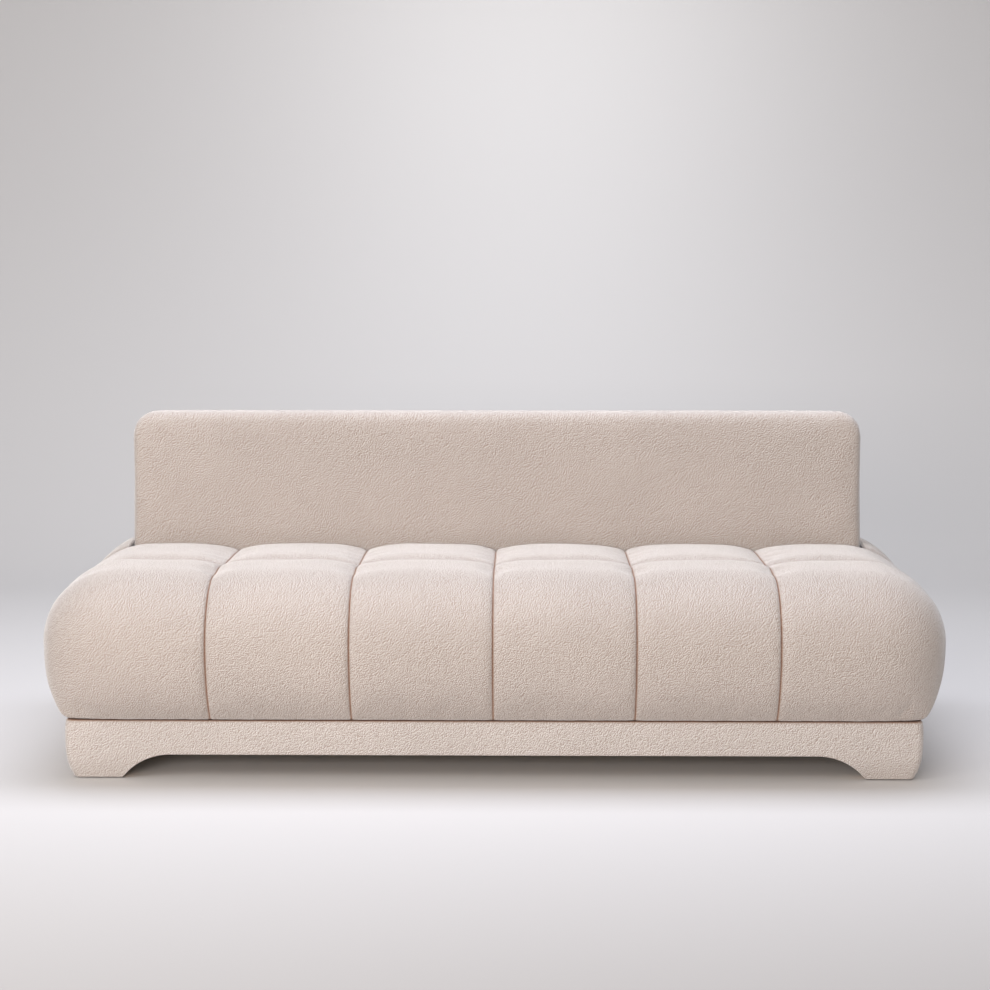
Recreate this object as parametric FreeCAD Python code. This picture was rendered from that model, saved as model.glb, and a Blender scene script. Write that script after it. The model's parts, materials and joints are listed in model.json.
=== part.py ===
import FreeCAD, Part
import math
import os

# A sofa bed without arms: a padded plinth, a channelled seat in three rows, and a slab
# backrest that stands in a slot between the middle and the rear row. The plinth, seat and
# backrest come forward together on two steel rails, and the backrest lies down into the
# gap that opens, level with the seat.
# X runs along the sofa, -Y is its front, Z is up, and the floor is at Z = 0.

Vec = FreeCAD.Vector

# Driving sizes in millimetres: the plinth
base_width = 1968.0
base_height = 139.0
base_corner = 40.0
band_drop = 28.0
band_to_top = 3.0
band_to_floor = 17.0
flank_drop = 78.0
flank_draw = 5.0
base_padding = 14.0
base_board = 30.0
glide_height = 3.0
glide_radius = 9.0
glide_inset = 67.0
arch_clearance = 59.0
foot_width = 112.0
arch_reach = 114.0

# The seat and its rows
seat_height = 476.0
end_swell = 57.0
front_swell = 75.0
swell_height = 312.0
shoulder_run = 180.0
corner_set_back = 160.0
channels_each_side = 3
groove_depth = 17.0
foot_groove = 4.0
front_row = 230.0
seam_depth = 13.0
seat_run = 545.0
rear_run = 302.0
top_padding = 37.0
top_edge_radius = 22.0
end_cap = 1.0

# Shares of a channel's width where its crown is shaped, of the rounded end's run where its
# shoulder is, and of the cross seam's depth that the crown falls by beside it and at its lip
channel_places = (0.0, 0.06, 0.2, 0.5, 0.8, 0.94, 1.0)
end_channel_places = (0.0, 0.06, 0.2, 0.5)
shoulder_places = (0.45, 0.65, 0.8, 0.91, 0.97)
seam_fall = 0.2
lip_fall = 0.5
lip_limit = 0.3

# The slot, the backrest and its travel
slot_gap = 6.0
backrest_thickness = 108.0
backrest_inset = 59.0
backrest_height = 439.0
backrest_corner = 50.0
rear_lip_radius = 60.0
slot_side_gap = 26.0
ear_pad = 26.0
row_gap = 3.0
lip_lift = 6.0
slab_pad = 28.0
slab_skin = 12.0
panel_thickness = 6.0

# Boards, slats and foam
board = 24.0
frame_height = 100.0
batten = 24.0
slat_thickness = 12.0
slat_width = 70.0
slat_count = 14
frame_inset = 20.0
cover_ease = 10.0
corner_block = 60.0
block_clear = 5.0
deck_thickness = 15.0
ledge_depth = 62.0
ledge_thickness = 27.0
ledge_gap = 2.0

# Steel and nylon of the pull-out
rail_height = 50.0
rail_width = 30.0
rail_wall = 3.0
rail_drop = 5.0
packer_thickness = 7.0
rail_setback = 4.0
runner_thickness = 6.0
runner_height = 102.0
block_length = 38.0
block_space = 4.0
block_gap = 0.3
leg_size = 30.0
leg_foot = 5.0
tie_height = 18.0
bracket_thickness = 6.0
bracket_width = 60.0
bracket_reach = 120.0
bracket_lift = 12.0
leaf_thickness = 3.0
leaf_width = 40.0
leaf_drop = 14.0
hinge_gap = 4.0
pin_radius = 6.0
pin_gap = 0.05
pin_head = 3.0
pin_bite = 3.0
bolt_radius = 4.0
bolt_head_radius = 7.0
bolt_head = 4.0
low_head = 2.0
runner_bolt_places = (0.12, 0.5, 0.88)
rail_bolt_places = (0.25, 0.75)
screw_radius = 2.5
frame_screw = 60.0

# Places worked out from the sizes above
base_half = base_width / 2
base_depth = seat_run + row_gap + rear_run
band_height = base_height - band_drop
flank_height = base_height - flank_drop
channel_pitch = base_half / channels_each_side
front = -base_depth / 2
rear = base_depth / 2
half_width = base_half + end_swell
split = front + seat_run
board_half = base_half - band_to_floor - base_padding
board_front = front + band_to_floor + base_padding
board_rear = rear - band_to_floor - base_padding
slab_front = split + slot_gap
slab_rear = slab_front + backrest_thickness
pivot_y = (slab_front + slab_rear) / 2
slab_radius = backrest_thickness / 2
pivot_z = seat_height - slab_radius
slab_bottom = pivot_z - slab_radius
slab_top = slab_bottom + backrest_height
slab_half = base_half - backrest_inset
rear_face = slab_rear + row_gap
slot_half = slab_half + slot_side_gap
frame_top = base_height + frame_height
batten_top = frame_top - slat_thickness
frame_front = front + frame_inset
frame_back = split
rear_frame_front = rear_face
rear_frame_back = rear - frame_inset
foam_top = seat_height - top_padding
frame_half = slab_half + leaf_thickness + hinge_gap
rail_outer = board_half - base_board - packer_thickness
rail_inner = rail_outer - rail_width
rail_top = base_height - rail_drop
rail_bottom = rail_top - rail_height

parts = {}


def add(name, *solids):
    """Store one named piece, made of one or more separate solids."""
    parts.setdefault(name, []).extend(solids)


def box(x0, x1, y0, y1, z0, z1):
    """Return a block between two corners."""
    return Part.makeBox(x1 - x0, y1 - y0, z1 - z0, Vec(x0, y0, z0))


def across(y, length, x0, z0, radius, direction):
    """Return a round bar that starts at (x0, y, z0) and runs along a direction."""
    return Part.makeCylinder(radius, length, Vec(x0, y, z0), direction)


def fuse(solids):
    """Join solids into one and drop the seams between flat faces."""
    whole = solids[0]
    for solid in solids[1:]:
        whole = whole.fuse(solid)
    return whole.removeSplitter()


def mirrored(solid):
    """Return the copy of a solid on the other end of the sofa."""
    return solid.mirror(Vec(0, 0, 0), Vec(1, 0, 0))


def arc_through(a, b, c):
    """Return the edge of an arc through three points."""
    return Part.Arc(a, b, c).toShape()


def swell_arc(swell_s, swell_z, end_s, end_z):
    """Return the middle point of an arc that leaves its fullest point upright."""
    run = end_s - swell_s
    rise = end_z - swell_z
    radius = (run * run + rise * rise) / (2 * run)
    turn = math.atan2(abs(rise), radius - run)
    side = math.copysign(1.0, rise)
    mid_s = swell_s + radius - radius * math.cos(turn / 2)
    mid_z = swell_z + side * radius * math.sin(turn / 2)
    return mid_s, mid_z


def row_slice(x, draw, outer, inward, flat, seam):
    """Return one upright slice across a row, as a closed wire.

    outer is the plinth's face below the rounded side, inward is +1 or -1 along Y from
    there, flat is the distance to the row's upright side, and seam the distance to a
    cross seam, or None.
    """
    past = max(0.0, abs(x) - (half_width - shoulder_run)) / shoulder_run
    ease = math.sqrt(1.0 - past * past)
    top = swell_height + (seat_height - swell_height) * ease - draw
    set_back = corner_set_back * (1.0 - ease)
    bottom = base_height
    tuck_rise = swell_height - base_height
    tuck = (end_swell ** 2 + tuck_rise ** 2) / (2 * end_swell)
    if abs(x) > base_half:
        over = abs(x) - (half_width - tuck)
        bottom = swell_height - math.sqrt(tuck * tuck - over * over)
    share = draw / groove_depth
    foot_s = set_back + foot_groove * share
    swell_s = set_back + draw - front_swell
    crown_s = swell_s + top - swell_height
    lip = min(top_edge_radius, lip_limit * (top - bottom))
    dip = seam_depth * ease

    def at(s, z):
        return Vec(x, outer + inward * s, z)

    low_s, low_z = swell_arc(swell_s, swell_height, foot_s, bottom)
    high_s, high_z = swell_arc(swell_s, swell_height, crown_s, top)
    edges = [
        arc_through(at(foot_s, bottom), at(low_s, low_z), at(swell_s, swell_height)),
        arc_through(at(swell_s, swell_height), at(high_s, high_z), at(crown_s, top)),
    ]
    start_s, start_z = crown_s, top
    if seam is not None:
        edges.append(arc_through(
            at(start_s, start_z),
            at((start_s + seam) / 2, top - dip * seam_fall),
            at(seam, top - dip)))
        start_s, start_z = seam, top - dip
    lip_s = flat - lip
    lip_z = top - dip * lip_fall
    edges.append(arc_through(
        at(start_s, start_z),
        at((start_s + lip_s) / 2, top),
        at(lip_s, lip_z)))
    bend = lip * (1 - math.sqrt(0.5))
    edges.append(arc_through(
        at(lip_s, lip_z),
        at(flat - bend, lip_z - bend),
        at(flat, lip_z - lip)))
    edges.append(Part.makeLine(at(flat, lip_z - lip), at(flat, bottom)))
    edges.append(Part.makeLine(at(flat, bottom), at(foot_s, bottom)))
    return Part.Wire(edges)


def crowned(t):
    """Return how far a channel is drawn in, from 1 at its seam to 0 along its middle."""
    return 1.0 - math.sqrt(1.0 - (2 * t - 1) ** 2)


def row_solid(outer, inward, flat, seam):
    """Return one row of crowned channels with its rounded ends."""
    channels = []
    for index in range(1 - channels_each_side, channels_each_side - 1):
        left = index * channel_pitch
        slices = []
        for t in channel_places:
            slices.append(row_slice(
                left + t * channel_pitch, groove_depth * crowned(t), outer, inward, flat, seam))
        channels.append(Part.makeLoft(slices, True, False))
    end_seam = (channels_each_side - 1) * channel_pitch
    slices = []
    for t in end_channel_places:
        slices.append(row_slice(
            end_seam + t * channel_pitch, groove_depth * crowned(t), outer, inward, flat, seam))
    middle = end_seam + end_channel_places[-1] * channel_pitch
    shoulder = max(half_width - shoulder_run, middle)
    ends = [shoulder + t * (half_width - shoulder) for t in shoulder_places]
    for x in ends + [half_width - end_cap]:
        slices.append(row_slice(x, 0.0, outer, inward, flat, seam))
    end = Part.makeLoft(slices, True, False)
    channels.append(end)
    channels.append(mirrored(end))
    below = box(-half_width, half_width, front - front_swell, rear + front_swell, 0, base_height)
    return fuse(channels).cut(below)


def rounded_ring(z, draw):
    """Return the plinth's outline at one height, drawn in from its widest band."""
    x1 = base_half - draw
    y1 = rear - draw
    r = base_corner
    c = r * (1 - math.sqrt(0.5))
    corners = [(x1, y1, 1, 1), (-x1, y1, -1, 1), (-x1, -y1, -1, -1), (x1, -y1, 1, -1)]
    edges = []
    previous = None
    first = None
    for x, y, sx, sy in corners:
        on_side = Vec(x, y - sy * r, z)
        on_face = Vec(x - sx * r, y, z)
        ends = (on_side, on_face) if sx * sy > 0 else (on_face, on_side)
        if previous is not None:
            edges.append(Part.makeLine(previous, ends[0]))
        else:
            first = ends[0]
        edges.append(arc_through(ends[0], Vec(x - sx * c, y - sy * c, z), ends[1]))
        previous = ends[1]
    edges.append(Part.makeLine(previous, first))
    return Part.Wire(edges)


def arch_cutter(half_outer, start, end, along_x):
    """Return the space under an arch between two feet, right through the plinth."""
    rise = arch_clearance
    foot = half_outer - foot_width
    top = foot - arch_reach
    radius = (arch_reach ** 2 + rise ** 2) / (2 * rise)
    turn = math.asin(arch_reach / radius)
    mid = top + radius * math.sin(turn / 2)
    mid_z = rise - radius * (1 - math.cos(turn / 2))

    def at(u, z):
        return Vec(start, u, z) if along_x else Vec(u, start, z)

    edges = [
        Part.makeLine(at(-foot, 0), at(foot, 0)),
        arc_through(at(foot, 0), at(mid, mid_z), at(top, rise)),
        Part.makeLine(at(top, rise), at(-top, rise)),
        arc_through(at(-top, rise), at(-mid, mid_z), at(-foot, 0)),
    ]
    push = Vec(end - start, 0, 0) if along_x else Vec(0, end - start, 0)
    return Part.Face(Part.Wire(edges)).extrude(push)


def plinth():
    """Make the plinth: boards with arches, a padded cover, and nylon glides under the feet."""
    levels = [
        (glide_height, band_to_floor),
        (flank_height, flank_draw),
        (band_height, 0.0),
        (base_height, band_to_top),
    ]
    block = Part.makeLoft([rounded_ring(z, draw) for z, draw in levels], True, False)
    block = block.cut(box(-board_half, board_half, board_front, board_rear, 0, base_height + 1))
    floor_half = base_half - band_to_floor
    floor_deep = rear - band_to_floor
    through_front = arch_cutter(floor_half, front - 1, rear + 1, False)
    through_side = arch_cutter(floor_deep, -base_half - 1, base_half + 1, True)
    block = block.cut(through_front).cut(through_side)
    ahead = box(-base_half, base_half, front, split, 0, base_height)
    behind = box(-base_half, base_half, split + row_gap, rear, 0, base_height)
    add("front_base_cover", block.common(ahead))
    add("rear_base_cover", block.common(behind))

    low = glide_height
    inner = board_half - base_board
    aprons = {
        "front_apron": (board_front, board_front + base_board),
        "rear_apron": (board_rear - base_board, board_rear),
    }
    for name, (y0, y1) in aprons.items():
        add(name, box(-board_half, board_half, y0, y1, low, base_height).cut(through_front))
    sides = {
        "front_side": (board_front + base_board, split),
        "rear_side": (split + row_gap, board_rear - base_board),
    }
    for name, (y0, y1) in sides.items():
        side = box(inner, board_half, y0, y1, low, base_height).cut(through_side)
        add(name + "_right", side)
        add(name + "_left", mirrored(side))

    glides = {
        "front_glides": (board_front + base_board / 2, board_front + glide_inset),
        "rear_glides": (board_rear - base_board / 2, board_rear - glide_inset),
    }
    edge = board_half - base_board / 2
    for name, (y_apron, y_side) in glides.items():
        spots = [(board_half - glide_inset, y_apron), (edge, y_side)]
        for x, y in spots:
            for side in (-1, 1):
                add(name, Part.makeCylinder(glide_radius, glide_height, Vec(side * x, y, 0)))


def seat_frame():
    """Make the boards, battens and slats of the moving seat."""
    inner = frame_half - board
    z0, z1 = base_height, frame_top
    add("seat_front_board", box(-frame_half, frame_half, frame_front, frame_front + board, z0, z1))
    add("seat_rear_board", box(-frame_half, frame_half, frame_back - board, frame_back, z0, z1))
    y0, y1 = frame_front + board, frame_back - board
    end = box(inner, frame_half, y0, y1, z0, z1)
    add("seat_end_board_right", end)
    add("seat_end_board_left", mirrored(end))
    for x in (-channel_pitch, channel_pitch):
        add("seat_cross_members", box(x - board / 2, x + board / 2, y0, y1, z0, batten_top - batten))
    bearer_x = rail_inner - runner_thickness - 2 * block_gap
    bearer = box(bearer_x - board, bearer_x, y0, y1, z0, batten_top - batten)
    add("runner_bearer_right", bearer)
    add("runner_bearer_left", mirrored(bearer))
    for y in (y0, y1 - batten):
        add("slat_battens", box(-inner, inner, y, y + batten, batten_top - batten, batten_top))
    pitch = (2 * inner - slat_width) / (slat_count - 1)
    for index in range(slat_count):
        x = -inner + index * pitch
        add("seat_slats", box(x, x + slat_width, y0, y1, batten_top, frame_top))
    for y in (y0, y1 - corner_block):
        block = box(rail_inner + block_clear, inner, y, y + corner_block, z0, batten_top - batten)
        add("seat_corner_blocks", block, mirrored(block))
    add("seat_foam", box(-frame_half, frame_half, frame_front, frame_back - board, frame_top, foam_top))


def seat_cover():
    """Make the sewn cover of the front and middle rows, hollow over the frame and foam."""
    half = frame_half + cover_ease
    cover = row_solid(front, 1, seat_run, front_row)
    cover = cover.cut(box(-half, half, frame_front, frame_back, base_height, frame_top))
    foam = parts["seat_foam"][0]
    add("seat_cover", cover.cut(foam))


def rear_row():
    """Make the fixed rear row: frame, deck, foam, cover and the ledge for the backrest."""
    y0, y1 = rear_frame_front, rear_frame_back
    z0, z1 = base_height, slab_bottom - ledge_gap
    half = slot_half
    add("rear_front_board", box(-half, half, y0, y0 + board, z0, z1))
    add("rear_back_board", box(-half, half, y1 - board, y1, z0, z1))
    end = box(half, half + board, split + row_gap + ear_pad, y1, z0, z1)
    add("rear_end_board_right", end)
    add("rear_end_board_left", mirrored(end))
    under = z1 - deck_thickness
    for x in (-channel_pitch, channel_pitch):
        add("rear_cross_members", box(
            x - board / 2, x + board / 2, y0 + board, y1 - board, z0, under))
    add("rear_deck", box(-half, half, y0 + board, y1 - board, under, z1))
    ledge_half = slab_half
    add("backrest_ledge", box(-ledge_half, ledge_half, y0 - ledge_depth, y0, z1 - ledge_thickness, z1))
    foam = box(-half, half, y0 + board, y1 - board, z1, foam_top)
    add("rear_foam", foam)

    cover = row_solid(rear, -1, rear_run, None)
    reach = slot_half
    lip = rear_lip_radius
    crown_z = seat_height + lip_lift
    corner_z = crown_z - lip
    turn = lip * (1 - math.sqrt(0.5))
    ahead = split - front_swell

    def at(y, z):
        return Vec(-reach, y, z)

    edges = [
        Part.makeLine(at(ahead, 0), at(rear_face, 0)),
        Part.makeLine(at(rear_face, 0), at(rear_face, corner_z)),
        arc_through(at(rear_face, corner_z), at(rear_face + turn, crown_z - turn),
                    at(rear_face + lip, crown_z)),
        Part.makeLine(at(rear_face + lip, crown_z), at(ahead, crown_z)),
        Part.makeLine(at(ahead, crown_z), at(ahead, 0)),
    ]
    slot = Part.Face(Part.Wire(edges)).extrude(Vec(2 * reach, 0, 0))
    cover = cover.cut(slot)
    cover = cover.cut(box(-slot_half, slot_half, y0, y1, z0, z1))
    for side in (end, mirrored(end), foam):
        cover = cover.cut(side)
    add("rear_cover", cover)


def backrest():
    """Make the slab backrest: timber frame, back panel, foam and a fitted cover."""
    pad = slab_pad
    inner_half = slab_half - pad
    z0, z1 = pivot_z - slab_pad, slab_top - pad
    frame_y = pivot_y - board / 2
    panel_y = frame_y + board
    back_y = panel_y + panel_thickness
    y0, y1 = slab_front + slab_skin, slab_rear - slab_skin

    middle = (z0 + z1 - board) / 2
    for z in (z0, middle, z1 - board):
        add("backrest_rails", box(-inner_half + board, inner_half - board, frame_y, panel_y, z, z + board))
    for x in (-inner_half, inner_half - board):
        add("backrest_stiles", box(x, x + board, frame_y, panel_y, z0, z1))
    for low, high in ((z0 + board, middle), (middle + board, z1 - board)):
        add("backrest_muntins", box(-board / 2, board / 2, frame_y, panel_y, low, high))
    add("backrest_panel", box(-inner_half, inner_half, panel_y, back_y, z0, z1))
    add("backrest_foam", box(-inner_half, inner_half, y0, frame_y, z0, z1))
    add("backrest_rear_foam", box(-inner_half, inner_half, back_y, y1, z0, z1))

    def outline(y, draw):
        """Return the slab's front view outline at one depth."""
        x1 = slab_half - draw
        top = slab_top - draw
        low = slab_bottom
        r = backrest_corner
        c = r * (1 - math.sqrt(0.5))
        edges = [
            Part.makeLine(Vec(-x1, y, low), Vec(x1, y, low)),
            Part.makeLine(Vec(x1, y, low), Vec(x1, y, top - r)),
            arc_through(Vec(x1, y, top - r), Vec(x1 - c, y, top - c), Vec(x1 - r, y, top)),
            Part.makeLine(Vec(x1 - r, y, top), Vec(-x1 + r, y, top)),
            arc_through(Vec(-x1 + r, y, top), Vec(-x1 + c, y, top - c), Vec(-x1, y, top - r)),
            Part.makeLine(Vec(-x1, y, top - r), Vec(-x1, y, low)),
        ]
        return Part.Wire(edges)

    ease = pad * (1 - math.sqrt(0.5))
    depths = [
        (slab_front, pad), (slab_front + ease, ease), (slab_front + pad, 0.0),
        (slab_rear - pad, 0.0), (slab_rear - ease, ease), (slab_rear, pad),
    ]
    front_edge = Part.makeLoft([outline(y, d) for y, d in depths[:3]], True, False)
    middle = Part.makeLoft([outline(y, d) for y, d in depths[2:4]], True, True)
    rear_edge = Part.makeLoft([outline(y, d) for y, d in depths[3:]], True, False)
    slab = fuse([front_edge, middle, rear_edge])
    upper = box(-slab_half, slab_half, slab_front, slab_rear, pivot_z, slab_top)
    round_end = across(pivot_y, 2 * slab_half, -slab_half, pivot_z, slab_radius, Vec(1, 0, 0))
    slab = slab.common(upper.fuse(round_end))
    hollow = box(-inner_half, inner_half, y0, y1, z0, z1)
    add("backrest_cover", slab.cut(hollow))


def pierce(name, tools):
    """Cut fasteners out of every solid of a piece that they pass through."""
    pieces = []
    for solid in parts[name]:
        for tool in tools:
            if solid.BoundBox.intersect(tool.BoundBox):
                solid = solid.cut(tool)
        pieces.append(solid)
    parts[name] = pieces


def headed(x, y, z, length, shank, head_radius, head):
    """Return a bolt along X whose head starts at x and whose shank runs inwards."""
    along = Vec(1, 0, 0)
    return fuse([
        across(y, length, x - length, z, shank, along),
        across(y, head, x, z, head_radius, along),
    ])


def hinges():
    """Make the hinge plates on the backrest, the brackets on the seat, and their pins."""
    along = Vec(1, 0, 0)
    leaf_in = slab_half
    leaf_out = leaf_in + leaf_thickness
    bracket_in = frame_half
    bracket_out = bracket_in + bracket_thickness
    half_leaf = leaf_width / 2
    half_arm = bracket_width / 2
    leaf_top = seat_height - leaf_drop
    leaf = fuse([
        box(leaf_in, leaf_out, pivot_y - half_leaf, pivot_y + half_leaf, pivot_z, leaf_top),
        across(pivot_y, leaf_thickness, leaf_in, pivot_z, half_leaf, along),
    ])
    hole_start = leaf_in - pin_bite
    hole = across(pivot_y, bracket_out - hole_start + pin_head, hole_start, pivot_z,
                  pin_radius + pin_gap, along)
    screw_length = slab_pad + leaf_thickness + board / 2
    screws = []
    for side in (-1, 1):
        y = pivot_y + side * board / 4
        z = (pivot_z + pin_radius + leaf_top) / 2
        screws.append(across(y, screw_length, leaf_out - screw_length, z, screw_radius, along))
    leaf = leaf.cut(hole)
    for screw in screws:
        leaf = leaf.cut(screw)
        add("hinge_screws", screw, mirrored(screw))
    low = base_height + bracket_lift
    y_end = pivot_y + half_arm
    arm = fuse([
        box(bracket_in, bracket_out, frame_back - bracket_reach, y_end, low, low + bracket_width),
        box(bracket_in, bracket_out, pivot_y - half_arm, y_end, low, pivot_z),
        across(pivot_y, bracket_thickness, bracket_in, pivot_z, half_arm, along),
    ]).cut(hole)
    for y in (frame_back - bracket_reach + half_arm, frame_back - half_arm):
        bolt = headed(bracket_out, y, low + half_arm, bracket_thickness + board,
                      bolt_radius, bolt_head_radius, low_head)
        arm = arm.cut(bolt)
        add("bracket_bolts", bolt, mirrored(bolt))
    pin = fuse([
        across(pivot_y, bracket_out + pin_head - hole_start, hole_start, pivot_z, pin_radius, along),
        across(pivot_y, pin_head, bracket_out + pin_gap, pivot_z, pin_radius + pin_head, along),
    ])
    add("hinge_plate_right", leaf)
    add("hinge_plate_left", mirrored(leaf))
    add("hinge_bracket_right", arm)
    add("hinge_bracket_left", mirrored(arm))
    add("hinge_pins", pin, mirrored(pin))
    bore = hole.common(box(hole_start, leaf_in, front, rear, 0, slab_top))
    pierce("backrest_cover", parts["hinge_screws"] + [bore, mirrored(bore)])
    pierce("backrest_stiles", parts["hinge_screws"])
    for name in ("seat_end_board_right", "seat_end_board_left", "seat_rear_board"):
        pierce(name, parts["bracket_bolts"])


def frame_screws():
    """Make the long screws at the corners of both frames."""
    inner = frame_half - board
    for z in (base_height + frame_height / 4, base_height + frame_height * 3 / 4):
        for y, way in ((frame_front, 1), (frame_back, -1)):
            screw = across(y, frame_screw, inner + board / 2, z, screw_radius, Vec(0, way, 0))
            add("seat_frame_screws", screw, mirrored(screw))
        for y in (rear_frame_front + board / 2, rear_frame_back - board / 2):
            start = slot_half + board - frame_screw
            screw = across(y, frame_screw, start, z, screw_radius, Vec(1, 0, 0))
            add("rear_frame_screws", screw, mirrored(screw))
    for name in ("seat_front_board", "seat_rear_board", "seat_end_board_right", "seat_end_board_left"):
        pierce(name, parts["seat_frame_screws"])
    for name in ("rear_front_board", "rear_back_board", "rear_end_board_right", "rear_end_board_left"):
        pierce(name, parts["rear_frame_screws"])


def pull_out():
    """Make the fixed rails with their legs and tie, and the runners with glide blocks."""
    x0, x1 = rail_inner, rail_outer
    z0, z1 = rail_bottom, rail_top
    y0 = board_front + base_board + rail_setback
    y1 = board_rear - base_board
    rail = box(x0, x1, y0, y1, z0, z1).cut(
        box(x0, x1 - rail_wall, y0, y1, z0 + rail_wall, z1 - rail_wall))
    add("fixed_rail_right", rail)
    add("fixed_rail_left", mirrored(rail))

    leg_y = y0 + leg_size
    leg = box(x0, x1, leg_y, leg_y + leg_size, leg_foot, z0).cut(
        box(x0 + rail_wall, x1 - rail_wall, leg_y + rail_wall, leg_y + leg_size - rail_wall,
            leg_foot, z0))
    add("rail_legs", leg, mirrored(leg))
    pad = box(x0, x1, leg_y, leg_y + leg_size, 0, leg_foot)
    add("rail_leg_feet", pad, mirrored(pad))
    add("rail_tie", box(-x0, x0, leg_y, leg_y + leg_size, z0 - tie_height, z0))

    run_x1 = x0 - 2 * block_gap
    run_x0 = run_x1 - runner_thickness
    run_y1 = frame_back - board
    run_y0 = y0 + leg_size
    bar = box(run_x0, run_x1, run_y0, run_y1, z0 + rail_wall, z0 + rail_wall + runner_height)
    for share in runner_bolt_places:
        y = run_y0 + share * (run_y1 - run_y0)
        bolt = headed(run_x1, y, base_height + frame_height / 4, board + runner_thickness,
                      bolt_radius, bolt_head_radius, bolt_head)
        bar = bar.cut(bolt)
        add("runner_bolts", bolt, mirrored(bolt))
    add("runner_right", bar)
    add("runner_left", mirrored(bar))
    for name in ("runner_bearer_right", "runner_bearer_left"):
        pierce(name, parts["runner_bolts"])
    for index in (0, 1):
        y = run_y1 - block_length - index * (block_length + block_space)
        block = box(run_x1, x1 - rail_wall - block_gap, y, y + block_length,
                    z0 + rail_wall + block_gap, z1 - rail_wall - block_gap)
        add("glide_blocks_right", block)
        add("glide_blocks_left", mirrored(block))

    inner = board_half - base_board
    packer_y0 = split + row_gap
    packer = box(x1, inner, packer_y0, y1, z0, z1)
    add("rail_packers", packer, mirrored(packer))
    for share in rail_bolt_places:
        y = packer_y0 + share * (y1 - packer_y0)
        bolt = across(y, inner + base_board / 2 - x1 + rail_wall, x1 - rail_wall,
                      (z0 + z1) / 2, bolt_radius, Vec(1, 0, 0))
        add("rail_bolts", bolt, mirrored(bolt))
    for name in ("rail_packers", "fixed_rail_right", "fixed_rail_left",
                 "rear_side_right", "rear_side_left"):
        pierce(name, parts["rail_bolts"])


plinth()
seat_frame()
seat_cover()
rear_row()
backrest()
hinges()
frame_screws()
pull_out()

os.makedirs("parts", exist_ok=True)
for name, solids in parts.items():
    shape = Part.Compound(solids) if len(solids) > 1 else solids[0]
    shape.exportStep("parts/" + name + ".step")
    print(name, len(shape.Solids), round(shape.Volume / 1e6, 3), shape.isValid())
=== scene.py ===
# %% [markdown]
# # An armless sofa bed in looped fabric
# The steel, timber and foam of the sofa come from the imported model, which is the frame.
# This file dresses it: the sewn and padded covers, their material, and the finish of the
# boards, slats, rails and glides that show when the bed is open.

# %% Load the frame
import bpy
import bmesh
import math
import numpy as np
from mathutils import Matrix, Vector, noise
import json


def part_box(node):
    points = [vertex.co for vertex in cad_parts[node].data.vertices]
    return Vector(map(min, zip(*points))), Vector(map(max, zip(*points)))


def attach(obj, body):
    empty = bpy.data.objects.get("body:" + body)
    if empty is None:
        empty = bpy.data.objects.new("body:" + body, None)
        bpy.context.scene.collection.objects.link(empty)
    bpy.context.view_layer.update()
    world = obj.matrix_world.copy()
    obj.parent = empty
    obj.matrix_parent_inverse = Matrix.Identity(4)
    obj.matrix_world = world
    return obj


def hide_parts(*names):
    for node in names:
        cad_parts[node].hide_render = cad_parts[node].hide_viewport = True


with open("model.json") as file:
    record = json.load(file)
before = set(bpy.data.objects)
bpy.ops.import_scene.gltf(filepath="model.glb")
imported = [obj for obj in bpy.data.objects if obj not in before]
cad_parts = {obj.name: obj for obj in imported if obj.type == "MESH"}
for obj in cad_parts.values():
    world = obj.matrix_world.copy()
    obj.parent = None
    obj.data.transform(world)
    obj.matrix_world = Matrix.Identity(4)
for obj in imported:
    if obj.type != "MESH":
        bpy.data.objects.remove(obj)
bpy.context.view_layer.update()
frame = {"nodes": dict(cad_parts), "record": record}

nodes = frame["nodes"]

# %% [markdown]
# ## Sizes
# Every size that the frame can give is read from it, so the covers fit the boards. The
# rest are sizes an upholsterer would set: how high up the front swells most, how round the
# ends are, how wide a channel is sewn, where the cross seam runs, and how round the lips are.

# %% Sizes in metres
seat_low, seat_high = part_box("seat_cover")
row_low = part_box("rear_cover")[0]
slab_low, slab_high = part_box("backrest_cover")
base_low, base_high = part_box("front_base_cover")
back_low, back_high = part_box("rear_base_cover")
apron_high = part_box("front_apron")[1]
rear_board_low, rear_board_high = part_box("rear_front_board")

PLINTH_TOP = base_high.z
PLINTH_HALF = base_high.x
PLINTH_FRONT = base_low.y
PLINTH_REAR = back_high.y
BOARD_HALF = apron_high.x
END_CAP = 0.001
HALF_WIDTH = seat_high.x + END_CAP
CROWN = seat_high.z
FRONT_SWELL = PLINTH_FRONT - seat_low.y
SEAT_RUN = seat_high.y - PLINTH_FRONT
REAR_RUN = PLINTH_REAR - row_low.y
SLOT_RUN = PLINTH_REAR - rear_board_low.y
SLOT_HALF = rear_board_high.x

SWELL_HEIGHT = 0.312
SHOULDER_RUN = 0.180
CORNER_SET_BACK = 0.160
CHANNELS_EACH_SIDE = 3
CHANNEL = 0.3235
FRONT_ROW = 0.250
REAR_LIP = 0.022
SLOT_LIP = 0.062
print("seat half width", round(HALF_WIDTH, 4), "crown", round(CROWN, 4))

# %% [markdown]
# ## Helpers for nodes and colours
# A colour is written as the hex value that a paint or fabric chart gives, and one function
# turns it into the linear light that the renderer works with. One more function adds a
# shader node with its settings and links, so that a material reads as a short recipe. The
# scale of a pattern is worked out from the size of the real feature in millimetres. A node
# that mixes has sockets for numbers, vectors and colours, and the names below are the
# places of its colour sockets.

# %% Colours and nodes
MIX_SHARE = 0
MIX_FIRST = 6
MIX_SECOND = 7
MIX_RESULT = 2


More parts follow.
